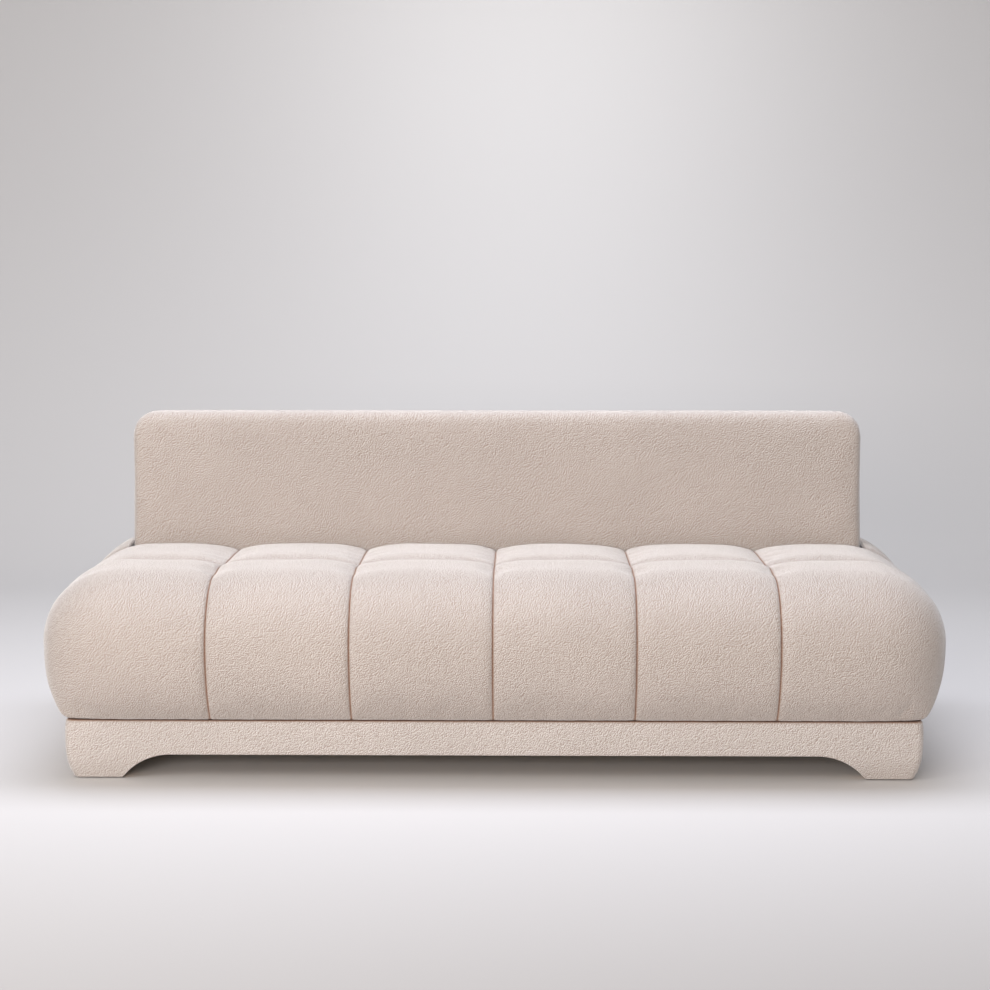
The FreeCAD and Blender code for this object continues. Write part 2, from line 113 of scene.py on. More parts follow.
def linear(hex_colour):
    """Turn an sRGB hex colour into linear red, green, blue and alpha."""
    values = [int(hex_colour[i:i + 2], 16) / 255 for i in (1, 3, 5)]
    return [v / 12.92 if v <= 0.04045 else ((v + 0.055) / 1.055) ** 2.4 for v in values] + [1.0]


def add(tree, kind, inputs=None, **settings):
    """Add a shader node, give it its settings, and set or link its inputs."""
    made = tree.nodes.new(kind)
    for key, value in settings.items():
        setattr(made, key, value)
    for key, value in (inputs or {}).items():
        if isinstance(value, bpy.types.NodeSocket):
            tree.links.new(value, made.inputs[key])
        else:
            made.inputs[key].default_value = value
    return made


def new_material(name):
    """Return an empty node material and its tree."""
    material = bpy.data.materials.new(name)
    material.use_nodes = True
    material.node_tree.nodes.clear()
    return material, material.node_tree


def cells_per_metre(millimetres):
    """Return the texture scale for a feature of that many millimetres."""
    return 1000.0 / millimetres


print("a feature of 2.5 mm has the scale", cells_per_metre(2.5))

# %% [markdown]
# ## Looped fabric
# The covers are a boucle: a thick wool-mix yarn that is spun with small loops, woven, and
# left unshorn. The eye reads a soft, grainy, almost matt surface with pale loop tops,
# browner gaps, and a faint bright edge where the loops stand up against the light.
#
# The loops are 2 to 3 mm across, here 2.5 mm, and cells of noise place them. Finer noise
# breaks up their tops, so no two are alike. The sizes of patterns are in millimetres, and
# heights and reaches are in metres.

# %% The pile
LOOP_SIZE = 2.5
CLUMP_SIZE = 3.6
LOOP_SHARE = 0.7
CLUMP_SHARE = 0.14


def loop_height(tree, place, shift):
    """Height of the pile, from 0 in a gap to 1 on a loop, a small shift from a place."""
    there = add(tree, "ShaderNodeVectorMath", {0: place, 1: shift}, operation="ADD").outputs[0]
    loops = add(tree, "ShaderNodeTexVoronoi", {
        "Vector": there, "Scale": cells_per_metre(LOOP_SIZE)}).outputs["Distance"]
    clumps = add(tree, "ShaderNodeTexNoise", {
        "Vector": there, "Scale": cells_per_metre(CLUMP_SIZE), "Detail": 4.0,
        "Roughness": 0.75}).outputs["Fac"]
    loop_top = add(tree, "ShaderNodeMapRange", {
        "Value": loops, "From Min": 0.05, "From Max": 0.85, "To Min": 1.0, "To Max": 0.0}).outputs[0]
    clump_top = add(tree, "ShaderNodeMapRange", {
        "Value": clumps, "From Min": 0.3, "From Max": 0.7, "To Max": CLUMP_SHARE}).outputs[0]
    return add(tree, "ShaderNodeMath", {
        0: loop_top, 1: LOOP_SHARE, 2: clump_top}, operation="MULTIPLY_ADD").outputs[0]


# %% [markdown]
# Light and shade on the loops are painted into the colour, as if lit from up and to the left: the flank
# of each loop that faces that light is painted paler, the other flank is painted darker, and the loop
# tops get a small painted highlight. The material compares the height of the pile at a point with the
# height a small step along the cloth in the direction of that light. Where the cloth faces the light the
# step shrinks to nothing, so the crown of the seat looks smoother than its front. Each loop also has a
# shade of its own, because the yarn is dyed in several.

# %% Painted light and shade on the loops
LOOP_SHIFT = 0.0012
# The direction from which the painted light falls on the loops.
PAINTED_LIGHT_DIRECTION = (-0.65, -0.25, 0.72)
TIP_HIGHLIGHT_SHARE = 0.05
YARN_SHARE = 0.075
LIGHT_AND_DYE_RANGE = 0.15


def loop_painted_light(tree, place, height):
    """Painted light and shade on the pile at a place, with each loop's own dye, from 0 shaded to 1 lit.
    """
    outward = add(tree, "ShaderNodeTexCoord").outputs["Normal"]
    through = add(tree, "ShaderNodeVectorMath", {
        0: PAINTED_LIGHT_DIRECTION, 1: outward}, operation="PROJECT").outputs[0]
    along = add(tree, "ShaderNodeVectorMath", {
        0: PAINTED_LIGHT_DIRECTION, 1: through}, operation="SUBTRACT").outputs[0]
    step = add(tree, "ShaderNodeVectorMath", {
        0: along, "Scale": LOOP_SHIFT}, operation="SCALE").outputs[0]
    beyond = loop_height(tree, place, step)
    # Painted light and shade: a flank that faces the light is painted paler, and one that faces away is
    # painted darker.
    flank_light = add(tree, "ShaderNodeMath", {0: height, 1: beyond}, operation="SUBTRACT").outputs[0]
    # Painted highlight: the tops of the loops are painted a little paler.
    tip_highlight = add(tree, "ShaderNodeMapRange", {
        "Value": height, "From Min": 0.22, "From Max": 0.74,
        "To Min": -TIP_HIGHLIGHT_SHARE, "To Max": TIP_HIGHLIGHT_SHARE}).outputs[0]
    painted_relief = add(tree, "ShaderNodeMath", {0: flank_light, 1: tip_highlight}, operation="ADD").outputs[0]
    each = add(tree, "ShaderNodeTexVoronoi", {
        "Vector": place, "Scale": cells_per_metre(LOOP_SIZE)}).outputs["Color"]
    own = add(tree, "ShaderNodeSeparateColor", {"Color": each}).outputs[0]
    shade = add(tree, "ShaderNodeMapRange", {
        "Value": own, "To Min": -YARN_SHARE, "To Max": YARN_SHARE}).outputs[0]
    light_and_dye = add(tree, "ShaderNodeMath", {0: painted_relief, 1: shade}, operation="ADD").outputs[0]
    return add(tree, "ShaderNodeMapRange", {
        "Value": light_and_dye, "From Min": -LIGHT_AND_DYE_RANGE, "From Max": LIGHT_AND_DYE_RANGE}).outputs[0]


# %% [markdown]
# Each point of a cover knows how far it is from the nearest seam. Right at the seam the
# brown sewing thread shows as a broken line, one dash to a stitch. Most seams run up the
# front and over the crown, so the stitches are counted along the depth less the height,
# which changes on both. A seam along the sofa shows as one even line.

# %% Sewing thread
THREAD_HALF = 0.0010
STITCH_LENGTH = 8.0


def thread_share(tree, place, gap):
    """How much of the thread shows at a place, from 0 away from a seam to 0.9 on a stitch."""
    axes = add(tree, "ShaderNodeSeparateXYZ", {"Vector": place}).outputs
    along = add(tree, "ShaderNodeMath", {0: axes["Y"], 1: axes["Z"]}, operation="SUBTRACT").outputs[0]
    turns = add(tree, "ShaderNodeMath", {
        0: along, 1: 2 * math.pi * cells_per_metre(STITCH_LENGTH)}, operation="MULTIPLY").outputs[0]
    stitches = add(tree, "ShaderNodeMath", {0: turns}, operation="SINE").outputs[0]
    line = add(tree, "ShaderNodeMapRange", {
        "Value": gap, "From Min": 0.5 * THREAD_HALF, "From Max": THREAD_HALF,
        "To Min": 1.0, "To Max": 0.0}).outputs[0]
    dashes = add(tree, "ShaderNodeMapRange", {
        "Value": stitches, "From Min": -0.8, "From Max": -0.2, "To Min": 0.35, "To Max": 0.9}).outputs[0]
    return add(tree, "ShaderNodeMath", {0: line, 1: dashes}, operation="MULTIPLY").outputs[0]


# %% [markdown]
# The colours were set beside the photograph: a pale loop, the body of the yarn, and the brown of the
# gaps, where the pale and the brown also carry the painted light and painted shade of the loops. Over a
# few hundred millimetres the dye drifts a little. For a few millimetres beside a seam the pile is
# pressed down, its colour is painted deeper as shade in the crease, and it has less of a bright edge. On
# the plinth the same cloth is pulled taut over boards and its loops lie flatter, and its colour is
# painted lighter as painted light.

# %% The boucle material
LOOP_PALE_AND_LIT = "#CBC4BE"
LOOP_BODY = "#B3A9A1"
LOOP_DARK_AND_SHADED = "#938379"
THREAD = "#7A5238"
# Painted shade in the crease beside a seam, where the pile is also pressed down.
PRESSED_SEAM_SHADE = "#A07E68"
DRIFT_SIZE = 260.0
LOOP_HEIGHT = 0.0010
SEAM_SHADE_HALF = 0.004
AS_WOVEN = (1.0, 1.0, 1.0)
# Painted light: the plinth's copy of the fabric is painted lighter than it is woven.
PAINTED_LIGHT_LIFT = (1.12, 1.15, 1.18)


def boucle(name, lift):
    """Make the looped wool fabric, its colour lifted by a share for each channel, which paints a lighter
    copy.
    """
    material, tree = new_material(name)
    place = add(tree, "ShaderNodeTexCoord").outputs["Object"]
    height = loop_height(tree, place, (0.0, 0.0, 0.0))
    # The ramp runs from painted shade through the yarn's own colour to painted light.
    ramp = add(tree, "ShaderNodeValToRGB", {"Fac": loop_painted_light(tree, place, height)})
    ramp.color_ramp.elements[0].position = 0.05
    ramp.color_ramp.elements[0].color = linear(LOOP_DARK_AND_SHADED)
    ramp.color_ramp.elements[1].position = 0.95
    ramp.color_ramp.elements[1].color = linear(LOOP_PALE_AND_LIT)
    ramp.color_ramp.elements.new(0.5).color = linear(LOOP_BODY)
    drift = add(tree, "ShaderNodeTexNoise", {
        "Vector": place, "Scale": cells_per_metre(DRIFT_SIZE), "Detail": 2.0}).outputs["Fac"]
    dye = add(tree, "ShaderNodeMapRange", {
        "Value": drift, "From Min": 0.3, "From Max": 0.7, "To Min": 0.97, "To Max": 1.03}).outputs[0]
    drifting = add(tree, "ShaderNodeVectorMath", {
        0: ramp.outputs["Color"], "Scale": dye}, operation="SCALE").outputs[0]
    lifted = add(tree, "ShaderNodeVectorMath", {0: drifting, 1: lift}, operation="MULTIPLY").outputs[0]
    gap = add(tree, "ShaderNodeAttribute", attribute_name="seam_gap").outputs["Fac"]
    # Painted shade: beside a seam the colour is darkened towards a deep brown, as shade in the crease
    # where the pile is also pressed down.
    seam_shade = add(tree, "ShaderNodeMapRange", {
        "Value": gap, "From Max": SEAM_SHADE_HALF, "To Min": 0.75, "To Max": 0.0}).outputs[0]
    beside = add(tree, "ShaderNodeMix", {
        MIX_SHARE: seam_shade, MIX_FIRST: lifted, MIX_SECOND: linear(PRESSED_SEAM_SHADE)},
        data_type="RGBA").outputs[MIX_RESULT]
    colour = add(tree, "ShaderNodeMix", {
        MIX_SHARE: thread_share(tree, place, gap), MIX_FIRST: beside, MIX_SECOND: linear(THREAD)},
        data_type="RGBA").outputs[MIX_RESULT]
    bright_edge = add(tree, "ShaderNodeMapRange", {
        "Value": gap, "From Max": SEAM_SHADE_HALF, "To Min": 0.1, "To Max": 0.7}).outputs[0]
    relief = add(tree, "ShaderNodeBump", {
        "Height": height, "Strength": 1.0, "Distance": LOOP_HEIGHT}).outputs[0]
    surface = add(tree, "ShaderNodeBsdfPrincipled", {
        "Base Color": colour, "Roughness": 0.9, "IOR": 1.45, "Specular IOR Level": 0.4,
        "Sheen Weight": bright_edge, "Sheen Roughness": 0.3, "Normal": relief}).outputs[0]
    add(tree, "ShaderNodeOutputMaterial", {"Surface": surface})
    return material


fabric = boucle("boucle_wool_loops", AS_WOVEN)
taut_fabric_painted_lighter = boucle("boucle_wool_loops_taut_painted_lighter", PAINTED_LIGHT_LIFT)
print("fabrics", fabric.name, "and", taut_fabric_painted_lighter.name)

# %% [markdown]
# ## Foam, timber and metal
# These show when the bed is open, or from below. Each has the finish of the stock that a
# workshop would buy: slabs of cut foam, planed pine, sanded birch plywood, powder-coated
# steel, bright zinc on the fasteners, and moulded nylon for the glides.
#
# The foam is open-cell polyurethane sawn from a block: matt, pale yellow and pored. Its
# pores are under 1 mm across and are drawn at 3 mm, so that they show.

# %% Foam
FOAM_BODY = "#E4D9B4"
FOAM_PORE = "#CDBE93"
FOAM_CELL = 3.0
FOAM_BLOTCH = 90.0


def cut_foam(name):
    """Make sawn open-cell foam: pores in relief, and blotches where it has yellowed."""
    material, tree = new_material(name)
    place = add(tree, "ShaderNodeTexCoord").outputs["Object"]
    pores = add(tree, "ShaderNodeTexVoronoi", {
        "Vector": place, "Scale": cells_per_metre(FOAM_CELL)}).outputs["Distance"]
    blotch = add(tree, "ShaderNodeTexNoise", {
        "Vector": place, "Scale": cells_per_metre(FOAM_BLOTCH), "Detail": 2.0}).outputs["Fac"]
    pored = add(tree, "ShaderNodeMapRange", {
        "Value": pores, "From Min": 0.2, "From Max": 0.8}).outputs[0]
    colour = add(tree, "ShaderNodeMix", {
        MIX_SHARE: pored, MIX_FIRST: linear(FOAM_BODY), MIX_SECOND: linear(FOAM_PORE)},
        data_type="RGBA").outputs[MIX_RESULT]
    yellowed = add(tree, "ShaderNodeMapRange", {
        "Value": blotch, "From Min": 0.4, "From Max": 0.8, "To Max": 0.3}).outputs[0]
    aged = add(tree, "ShaderNodeMix", {
        MIX_SHARE: yellowed, MIX_FIRST: colour, MIX_SECOND: linear(FOAM_PORE)},
        data_type="RGBA").outputs[MIX_RESULT]
    relief = add(tree, "ShaderNodeBump", {
        "Height": pores, "Strength": 0.6, "Distance": 0.001}).outputs[0]
    surface = add(tree, "ShaderNodeBsdfPrincipled", {
        "Base Color": aged, "Roughness": 0.95, "IOR": 1.45, "Normal": relief}).outputs[0]
    add(tree, "ShaderNodeOutputMaterial", {"Surface": surface})
    return material


foam = cut_foam("cut_polyurethane_foam")
print("foam", foam.name)

# %% [markdown]
# Pine is planed and left bare. Its boards are sawn along the rings, so the late wood shows
# as wide soft bands, about 44 mm apart, that wander with the trunk. Birch plywood is paler,
# sanded smooth, and its peeled face has faint bands about 100 mm apart. The fibres of both
# are a few tenths of a millimetre thick and are drawn at 2 mm, so that they show.

# %% Timber
PINE_EARLY = "#E3C79B"
PINE_LATE = "#BF935E"
PINE_BAND = 44.0
BIRCH_PALE = "#E6D2AE"
BIRCH_FLECK = "#CBAE82"
BIRCH_BAND = 100.5
FIBRE_SIZE = 2.0
SWAY_SIZE = 60.0
WAVE_PERIOD = 2 * math.pi / 20
LONG_GRAIN = (0.06, 1.0, 1.0)


def planed_timber(name, pale, deep, band, wander, roughness):
    """Make bare timber: long soft bands that wander, and fine fibres along the board."""
    material, tree = new_material(name)
    place = add(tree, "ShaderNodeTexCoord").outputs["Object"]
    along = add(tree, "ShaderNodeMapping", {"Vector": place, "Scale": LONG_GRAIN}).outputs[0]
    sway = add(tree, "ShaderNodeTexNoise", {
        "Vector": along, "Scale": cells_per_metre(SWAY_SIZE), "Detail": 2.0}).outputs["Color"]
    swayed = add(tree, "ShaderNodeVectorMath", {
        0: sway, 1: (wander, wander, wander), 2: along}, operation="MULTIPLY_ADD").outputs[0]
    rings = add(tree, "ShaderNodeTexWave", {
        "Vector": swayed, "Scale": cells_per_metre(band) * WAVE_PERIOD, "Distortion": 1.5,
        "Detail": 2.0}, wave_type="BANDS", bands_direction="Z").outputs["Fac"]
    fibres = add(tree, "ShaderNodeTexNoise", {
        "Vector": along, "Scale": cells_per_metre(FIBRE_SIZE), "Detail": 2.0}).outputs["Fac"]
    late = add(tree, "ShaderNodeMapRange", {
        "Value": rings, "From Min": 0.2, "From Max": 1.0, "To Max": 0.8}).outputs[0]
    colour = add(tree, "ShaderNodeMix", {
        MIX_SHARE: late, MIX_FIRST: linear(pale), MIX_SECOND: linear(deep)},
        data_type="RGBA").outputs[MIX_RESULT]
    streaks = add(tree, "ShaderNodeMapRange", {
        "Value": fibres, "From Min": 0.45, "From Max": 0.75, "To Max": 0.35}).outputs[0]
    grained = add(tree, "ShaderNodeMix", {
        MIX_SHARE: streaks, MIX_FIRST: colour, MIX_SECOND: linear(deep)},
        data_type="RGBA").outputs[MIX_RESULT]
    relief = add(tree, "ShaderNodeBump", {
        "Height": fibres, "Strength": 0.3, "Distance": 0.0004}).outputs[0]
    surface = add(tree, "ShaderNodeBsdfPrincipled", {
        "Base Color": grained, "Roughness": roughness, "IOR": 1.5, "Normal": relief}).outputs[0]
    add(tree, "ShaderNodeOutputMaterial", {"Surface": surface})
    return material


pine = planed_timber("planed_pine", PINE_EARLY, PINE_LATE, PINE_BAND, wander=0.02, roughness=0.62)
birch = planed_timber(
    "sanded_birch_plywood", BIRCH_PALE, BIRCH_FLECK, BIRCH_BAND, wander=0.03, roughness=0.55)
print("timbers", pine.name, "and", birch.name)

# %% [markdown]
# The rails, runners and hinge brackets are steel with a black powder coat: baked paint
# with a fine orange-peel texture and a dull shine. Bolts and pins are bright zinc over
# steel. Glides and slide blocks are black nylon with the faint grain of the mould. The
# grain of all three is a few tenths of a millimetre, and is drawn at about 1 mm. The zinc
# keeps the default IOR.

# %% Metal and nylon
COAT_BLACK = "#26272A"
COAT_WORN = "#3A3B3E"
ZINC = "#B9BCBE"
ZINC_DULL = "#9A9DA0"
NYLON = "#232323"
NYLON_SCUFF = "#3B3A38"
SHINE_DRIFT = 0.06


def grained_solid(name, body, second, grain, patch, depth, roughness, metallic=0.0, ior=1.5):
    """Make a plain finish with a fine grain in relief and a slow drift of colour and shine."""
    material, tree = new_material(name)
    place = add(tree, "ShaderNodeTexCoord").outputs["Object"]
    fine = add(tree, "ShaderNodeTexNoise", {
        "Vector": place, "Scale": cells_per_metre(grain), "Detail": 2.0}).outputs["Fac"]
    slow = add(tree, "ShaderNodeTexNoise", {
        "Vector": place, "Scale": cells_per_metre(patch), "Detail": 3.0}).outputs["Fac"]
    patches = add(tree, "ShaderNodeMapRange", {
        "Value": slow, "From Min": 0.45, "From Max": 0.75}).outputs[0]
    colour = add(tree, "ShaderNodeMix", {
        MIX_SHARE: patches, MIX_FIRST: linear(body), MIX_SECOND: linear(second)},
        data_type="RGBA").outputs[MIX_RESULT]
    shine = add(tree, "ShaderNodeMapRange", {
        "Value": slow, "From Min": 0.3, "From Max": 0.7,
        "To Min": roughness - SHINE_DRIFT, "To Max": roughness + SHINE_DRIFT}).outputs[0]
    relief = add(tree, "ShaderNodeBump", {
        "Height": fine, "Strength": 0.5, "Distance": depth}).outputs[0]
    surface = add(tree, "ShaderNodeBsdfPrincipled", {
        "Base Color": colour, "Metallic": metallic, "IOR": ior, "Roughness": shine,
        "Normal": relief}).outputs[0]
    add(tree, "ShaderNodeOutputMaterial", {"Surface": surface})
    return material


coated = grained_solid(
    "powder_coated_steel", COAT_BLACK, COAT_WORN, grain=1.2, patch=70, depth=0.0002, roughness=0.45)
zinc = grained_solid(
    "bright_zinc_plate", ZINC, ZINC_DULL, grain=0.8, patch=12, depth=0.0001, roughness=0.32,
    metallic=1.0)
nylon = grained_solid(
    "moulded_nylon", NYLON, NYLON_SCUFF, grain=0.9, patch=25, depth=0.0002, roughness=0.5, ior=1.53)
print("hard finishes", coated.name, zinc.name, nylon.name)

# %% [markdown]
# Boards, slats, rails and fasteners stay as the frame has them, with their edges as cut.
# The record names the stock that each is made of, and that picks the finish.

# %% Finishes of the carried-over CAD pieces
FINISHES = {"pine": pine, "birch_ply": birch, "coated_steel": coated, "zinc_steel": zinc, "nylon": nylon}
slots = {part["node"]: part["material_slot"] for part in frame["record"]["subparts"]}
for node, slot_name in slots.items():
    if slot_name in FINISHES:
        nodes[node].data.materials.clear()
        nodes[node].data.materials.append(FINISHES[slot_name])
print("finished", sum(s in FINISHES for s in slots.values()), "of", len(slots), "nodes")

# %% [markdown]
# ## One slice of a seat row
# Cut across the sofa, a row is a rounded front that leaves the plinth, swells, and turns
# over into a nearly flat crown, then a small lip and an upright side. The slice is worked
# out as a list of points at the same places in every slice, so that slices join into a
# clean grid whose lines run along the seams. Stitching pulls the front in by one depth and
# the crown down by another. Near the sofa's end the slice shrinks along a quarter of an
# ellipse until it closes in a soft ridge.

# %% Curves of a slice
SEAM_DEPTH = 0.022
SEAM_REACH = 0.080
SEAM_POWER = 2.6
NO_RUN = 1e-9


def arc(start_s, start_z, end_s, end_z, count):
    """Points of an arc that leaves its first point upright and ends at the second."""
    run, rise = end_s - start_s, end_z - start_z
    if abs(run) < NO_RUN:
        return [(start_s, start_z + rise * k / count) for k in range(count + 1)]
    radius = (run * run + rise * rise) / (2 * run)
    turn = math.atan2(abs(rise), radius - run)
    side = math.copysign(1.0, rise)
    points = []
    for k in range(count + 1):
        angle = turn * k / count
        points.append((
            start_s + radius * (1 - math.cos(angle)), start_z + side * radius * math.sin(angle)))
    return points


def end_ease(x, power=2.0):
    """How full a slice is, from 1 along the sofa to 0 at the ridge of its rounded end."""
    past = max(0.0, abs(x) - (HALF_WIDTH - SHOULDER_RUN)) / SHOULDER_RUN
    return max(0.0, 1.0 - min(1.0, past) ** power) ** (1.0 / power)


def cross_dip(distance):
    """Depth of the cross seam at a distance from it."""
    t = min(1.0, abs(distance) / SEAM_REACH)
    return SEAM_DEPTH * (1.0 - math.sqrt(1.0 - (1.0 - t) ** SEAM_POWER))


print("cross seam 10 mm away is", round(cross_dip(0.010), 4), "deep")

# %% [markdown]
# Along the crown a slice has its points close together beside the cross seam, where the
# fabric dips, and the front row rises a little in its middle. The crown falls slightly
# towards the lip at its back.

# %% Crown of a slice
ROW_RISE = 0.006
LIP_FALL = 0.003
LIP_FALL_RUN = 0.09
ROW_STEPS = 14
BEHIND_SEAM_STEPS = ROW_STEPS + 6


def crown_places(row, crown_s, lip_s):
    """Places along the crown, closer together beside the cross seam."""
    seam = row["seam"]
    if seam is None:
        return [crown_s + (lip_s - crown_s) * k / ROW_STEPS for k in range(1, ROW_STEPS + 1)]
    before = [crown_s + (seam - crown_s) * math.sin(math.pi / 2 * k / ROW_STEPS)
              for k in range(1, ROW_STEPS + 1)]
    behind = [seam + (lip_s - seam) * (1 - math.cos(math.pi / 2 * k / BEHIND_SEAM_STEPS))
              for k in range(1, BEHIND_SEAM_STEPS + 1)]
    return before + behind


def crown_line(row, full, draw_crown, ease, crown_s, lip_s):
    """Points along the crown, with its cross seam, its rise and its fall to the lip."""
    line = []
    for s in crown_places(row, crown_s, lip_s):
        z = full - draw_crown
        if row["seam"] is not None:
            z = full - math.hypot(draw_crown, cross_dip(s - row["seam"]) * ease)
            if s < row["seam"]:
                share = (s - crown_s) / (row["seam"] - crown_s)
                z += ROW_RISE * ease * math.sin(math.pi * share) ** 2
        z -= LIP_FALL * ease * max(0.0, 1.0 - (lip_s - s) / LIP_FALL_RUN) ** 2
        line.append((s, z))
    return line


# %% [markdown]
# The rear row's ears, beside the backrest's slot, are flaps: each ends just above the hinge
# bracket that passes under it, and then steps back to the board. Everywhere else the side of
# a row goes straight down. The slice is then strung together: front swell, turn, crown, lip,
# side and underside.

# %% A whole slice
FRONT_GROOVE = 0.012
CROWN_GROOVE = 0.018
FOOT_GROOVE = 0.004
FOOT_SET_BACK = 0.28
TUCK_POWER = 1.3
CROSS_SEAM_DEPTH = 0.0032
LIP_MOST = 0.4
SLOT_GAP = 0.004
FLAP_HALF = slab_high.x + SLOT_GAP
BRACKET_CLEARANCE = 0.002
FLAP_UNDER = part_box("hinge_bracket_right")[1].z + BRACKET_CLEARANCE
FLAP_LEAST = 0.001
SWELL_STEPS = 15
TURN_STEPS = 20
LIP_STEPS = 6
SIDE_STEPS = 10
FLAP_STEPS = 3
UNDER_STEPS = 10


def side_line(x, row, flat, side_top, bottom):
    """Points down the side of a row, over the flap where the rear row has one."""
    if row["seam"] is None and FLAP_HALF < abs(x) < SLOT_HALF:
        under = min(FLAP_UNDER, side_top - FLAP_LEAST)
        drop_steps = SIDE_STEPS - FLAP_STEPS - 1
        line = [(flat + (SLOT_RUN - flat) * k / FLAP_STEPS, under) for k in range(FLAP_STEPS)]
        line += [(SLOT_RUN, under + (bottom - under) * k / drop_steps) for k in range(drop_steps + 1)]
        return line
    return [(flat, side_top + (bottom - side_top) * k / SIDE_STEPS)
            for k in range(1, SIDE_STEPS + 1)]


def row_points(x, draw_front, draw_crown, row):
    """Return the (y, z) points of one closed slice of a row."""
    ease = end_ease(x, row["end_power"])
    full = SWELL_HEIGHT + (CROWN - SWELL_HEIGHT) * ease
    top = full - draw_crown
    set_back = CORNER_SET_BACK * (1.0 - end_ease(x))
    past_base = max(0.0, (abs(x) - PLINTH_HALF) / (HALF_WIDTH - PLINTH_HALF))
    fall = max(0.0, 1.0 - past_base ** TUCK_POWER) ** (1.0 / TUCK_POWER)
    bottom = SWELL_HEIGHT - (SWELL_HEIGHT - PLINTH_TOP) * fall
    swell_s = set_back + draw_front - FRONT_SWELL
    foot_s = max(FOOT_SET_BACK * set_back, swell_s + FOOT_GROOVE)
    foot_s += FOOT_GROOVE * draw_front / FRONT_GROOVE
    crown_s = swell_s + (full - SWELL_HEIGHT)
    flat = row["flat"](x)
    lip = min(row["lip"](x), LIP_MOST * (top - bottom))
    points = arc(swell_s, SWELL_HEIGHT, foot_s, bottom, SWELL_STEPS)[::-1]
    points += arc(swell_s, SWELL_HEIGHT, crown_s, top, TURN_STEPS)[1:]
    points += crown_line(row, full, draw_crown, ease, crown_s, flat - lip)
    last_s, last_z = points[-1]
    for k in range(1, LIP_STEPS + 1):
        angle = math.pi / 2 * k / LIP_STEPS
        points.append((last_s + lip * math.sin(angle), last_z - lip * (1 - math.cos(angle))))
    points += side_line(x, row, flat, points[-1][1], bottom)
    for k in range(1, UNDER_STEPS):
        points.append((flat + (foot_s - flat) * k / UNDER_STEPS, bottom))
    return [(row["outer"] + row["inward"] * s, z) for s, z in points]


# %% [markdown]
# ## Columns along a row
# Slices stand close together beside a seam, where the fabric turns sharply, and further
# apart on the open crown. Across its width a channel is pulled in as a pillow is. On the
# front the padding is thin and stays flat until just before the stitches, and on the crown
# it is thick and starts to fall much earlier, so the two have different powers.

# %% Columns
FRONT_POWER = 10.0
CROWN_POWER = 2.9
CHANNEL_COLUMNS = 24
END_COLUMNS = 18
LEAST_STEP = 0.003
SLOT_TURN = 0.0015


def pillow(t, depth, power):
    """How far a channel is drawn in at a share t of its width."""
    return depth * (1.0 - math.sqrt(max(0.0, 1.0 - abs(2 * t - 1) ** power)))


def channel_column(x, t):
    """Return one column of a channel: its place, its two draws and its gap to the seam."""
    return (x, pillow(t, FRONT_GROOVE, FRONT_POWER), pillow(t, CROWN_GROOVE, CROWN_POWER),
            min(t, 1 - t) * CHANNEL)


def columns():
    """Return (x, front draw, crown draw, distance to the nearest seam) for each slice."""
    shares = [(1 - math.cos(math.pi * k / CHANNEL_COLUMNS)) / 2 for k in range(CHANNEL_COLUMNS)]
    inner = CHANNELS_EACH_SIDE - 1
    middle = [channel_column((index + t) * CHANNEL, t) for index in range(-inner, inner) for t in shares]
    seam_x = inner * CHANNEL
    shoulder = HALF_WIDTH - SHOULDER_RUN
    end = [channel_column(seam_x + t * CHANNEL, t) for t in shares[:CHANNEL_COLUMNS // 2 + 1]]
    crown_x = end[-1][0]
    for k in range(END_COLUMNS + 1):
        x = shoulder + SHOULDER_RUN * math.sin(math.pi / 2 * k / END_COLUMNS)
        if x > crown_x + LEAST_STEP:
            end.append((x, 0.0, 0.0, x - seam_x))
    for x in (FLAP_HALF - SLOT_TURN, FLAP_HALF, FLAP_HALF + SLOT_TURN, SLOT_HALF - SLOT_TURN,
              SLOT_HALF + SLOT_TURN):
        end.append((x, 0.0, 0.0, x - seam_x))
    end.sort()
    left = [(-column[0],) + column[1:] for column in reversed(end)]
    return left + middle[1:] + end


print("columns", len(columns()))

# %% [markdown]
# The sofa has two blocks of rows. The one in front slides and carries the cross seam. The
# one behind looks the other way. Its side stands back where the backrest's slot is, and its
# ears beside the slot reach forward to the seat. A block's power says how square its
# rounded ends look from the front.

# %% Two blocks of rows
def smooth_step(value, low, high):
    """Rise smoothly from 0 to 1 between low and high."""
    t = min(1.0, max(0.0, (value - low) / (high - low)))
    return t * t * (3 - 2 * t)


def past_slot(x):
    """0 where the backrest's slot is, 1 on the ears beside it."""
    return smooth_step(abs(x), FLAP_HALF - SLOT_TURN, FLAP_HALF + SLOT_TURN)


FRONT_END_POWER = 2.02
REAR_END_POWER = 2.28
front_rows = {
    "outer": PLINTH_FRONT, "inward": 1, "seam": FRONT_ROW, "end_power": FRONT_END_POWER,
    "flat": lambda x: SEAT_RUN, "lip": lambda x: REAR_LIP,
}
rear_row = {
    "outer": PLINTH_REAR, "inward": -1, "seam": None, "end_power": REAR_END_POWER,
    "flat": lambda x: SLOT_RUN + (REAR_RUN - SLOT_RUN) * past_slot(x),
    "lip": lambda x: SLOT_LIP + (REAR_LIP - SLOT_LIP) * past_slot(x),
}
print("points in a slice", len(row_points(0.0, 0.0, 0.0, front_rows)), "and",
      len(row_points(0.0, 0.0, 0.0, rear_row)))

# %% [markdown]
# ## From slices to a cover
# The slices are joined into quads. The underside is left open over the boards, as a real
# cover is: it turns under the plinth's edge and is stapled there. Each point also stores
# how near it lies to a seam, for the material, and how firmly it is held, for the cloth.

# %% Meshes that know their seams
FAR_FROM_SEAM = 1.0


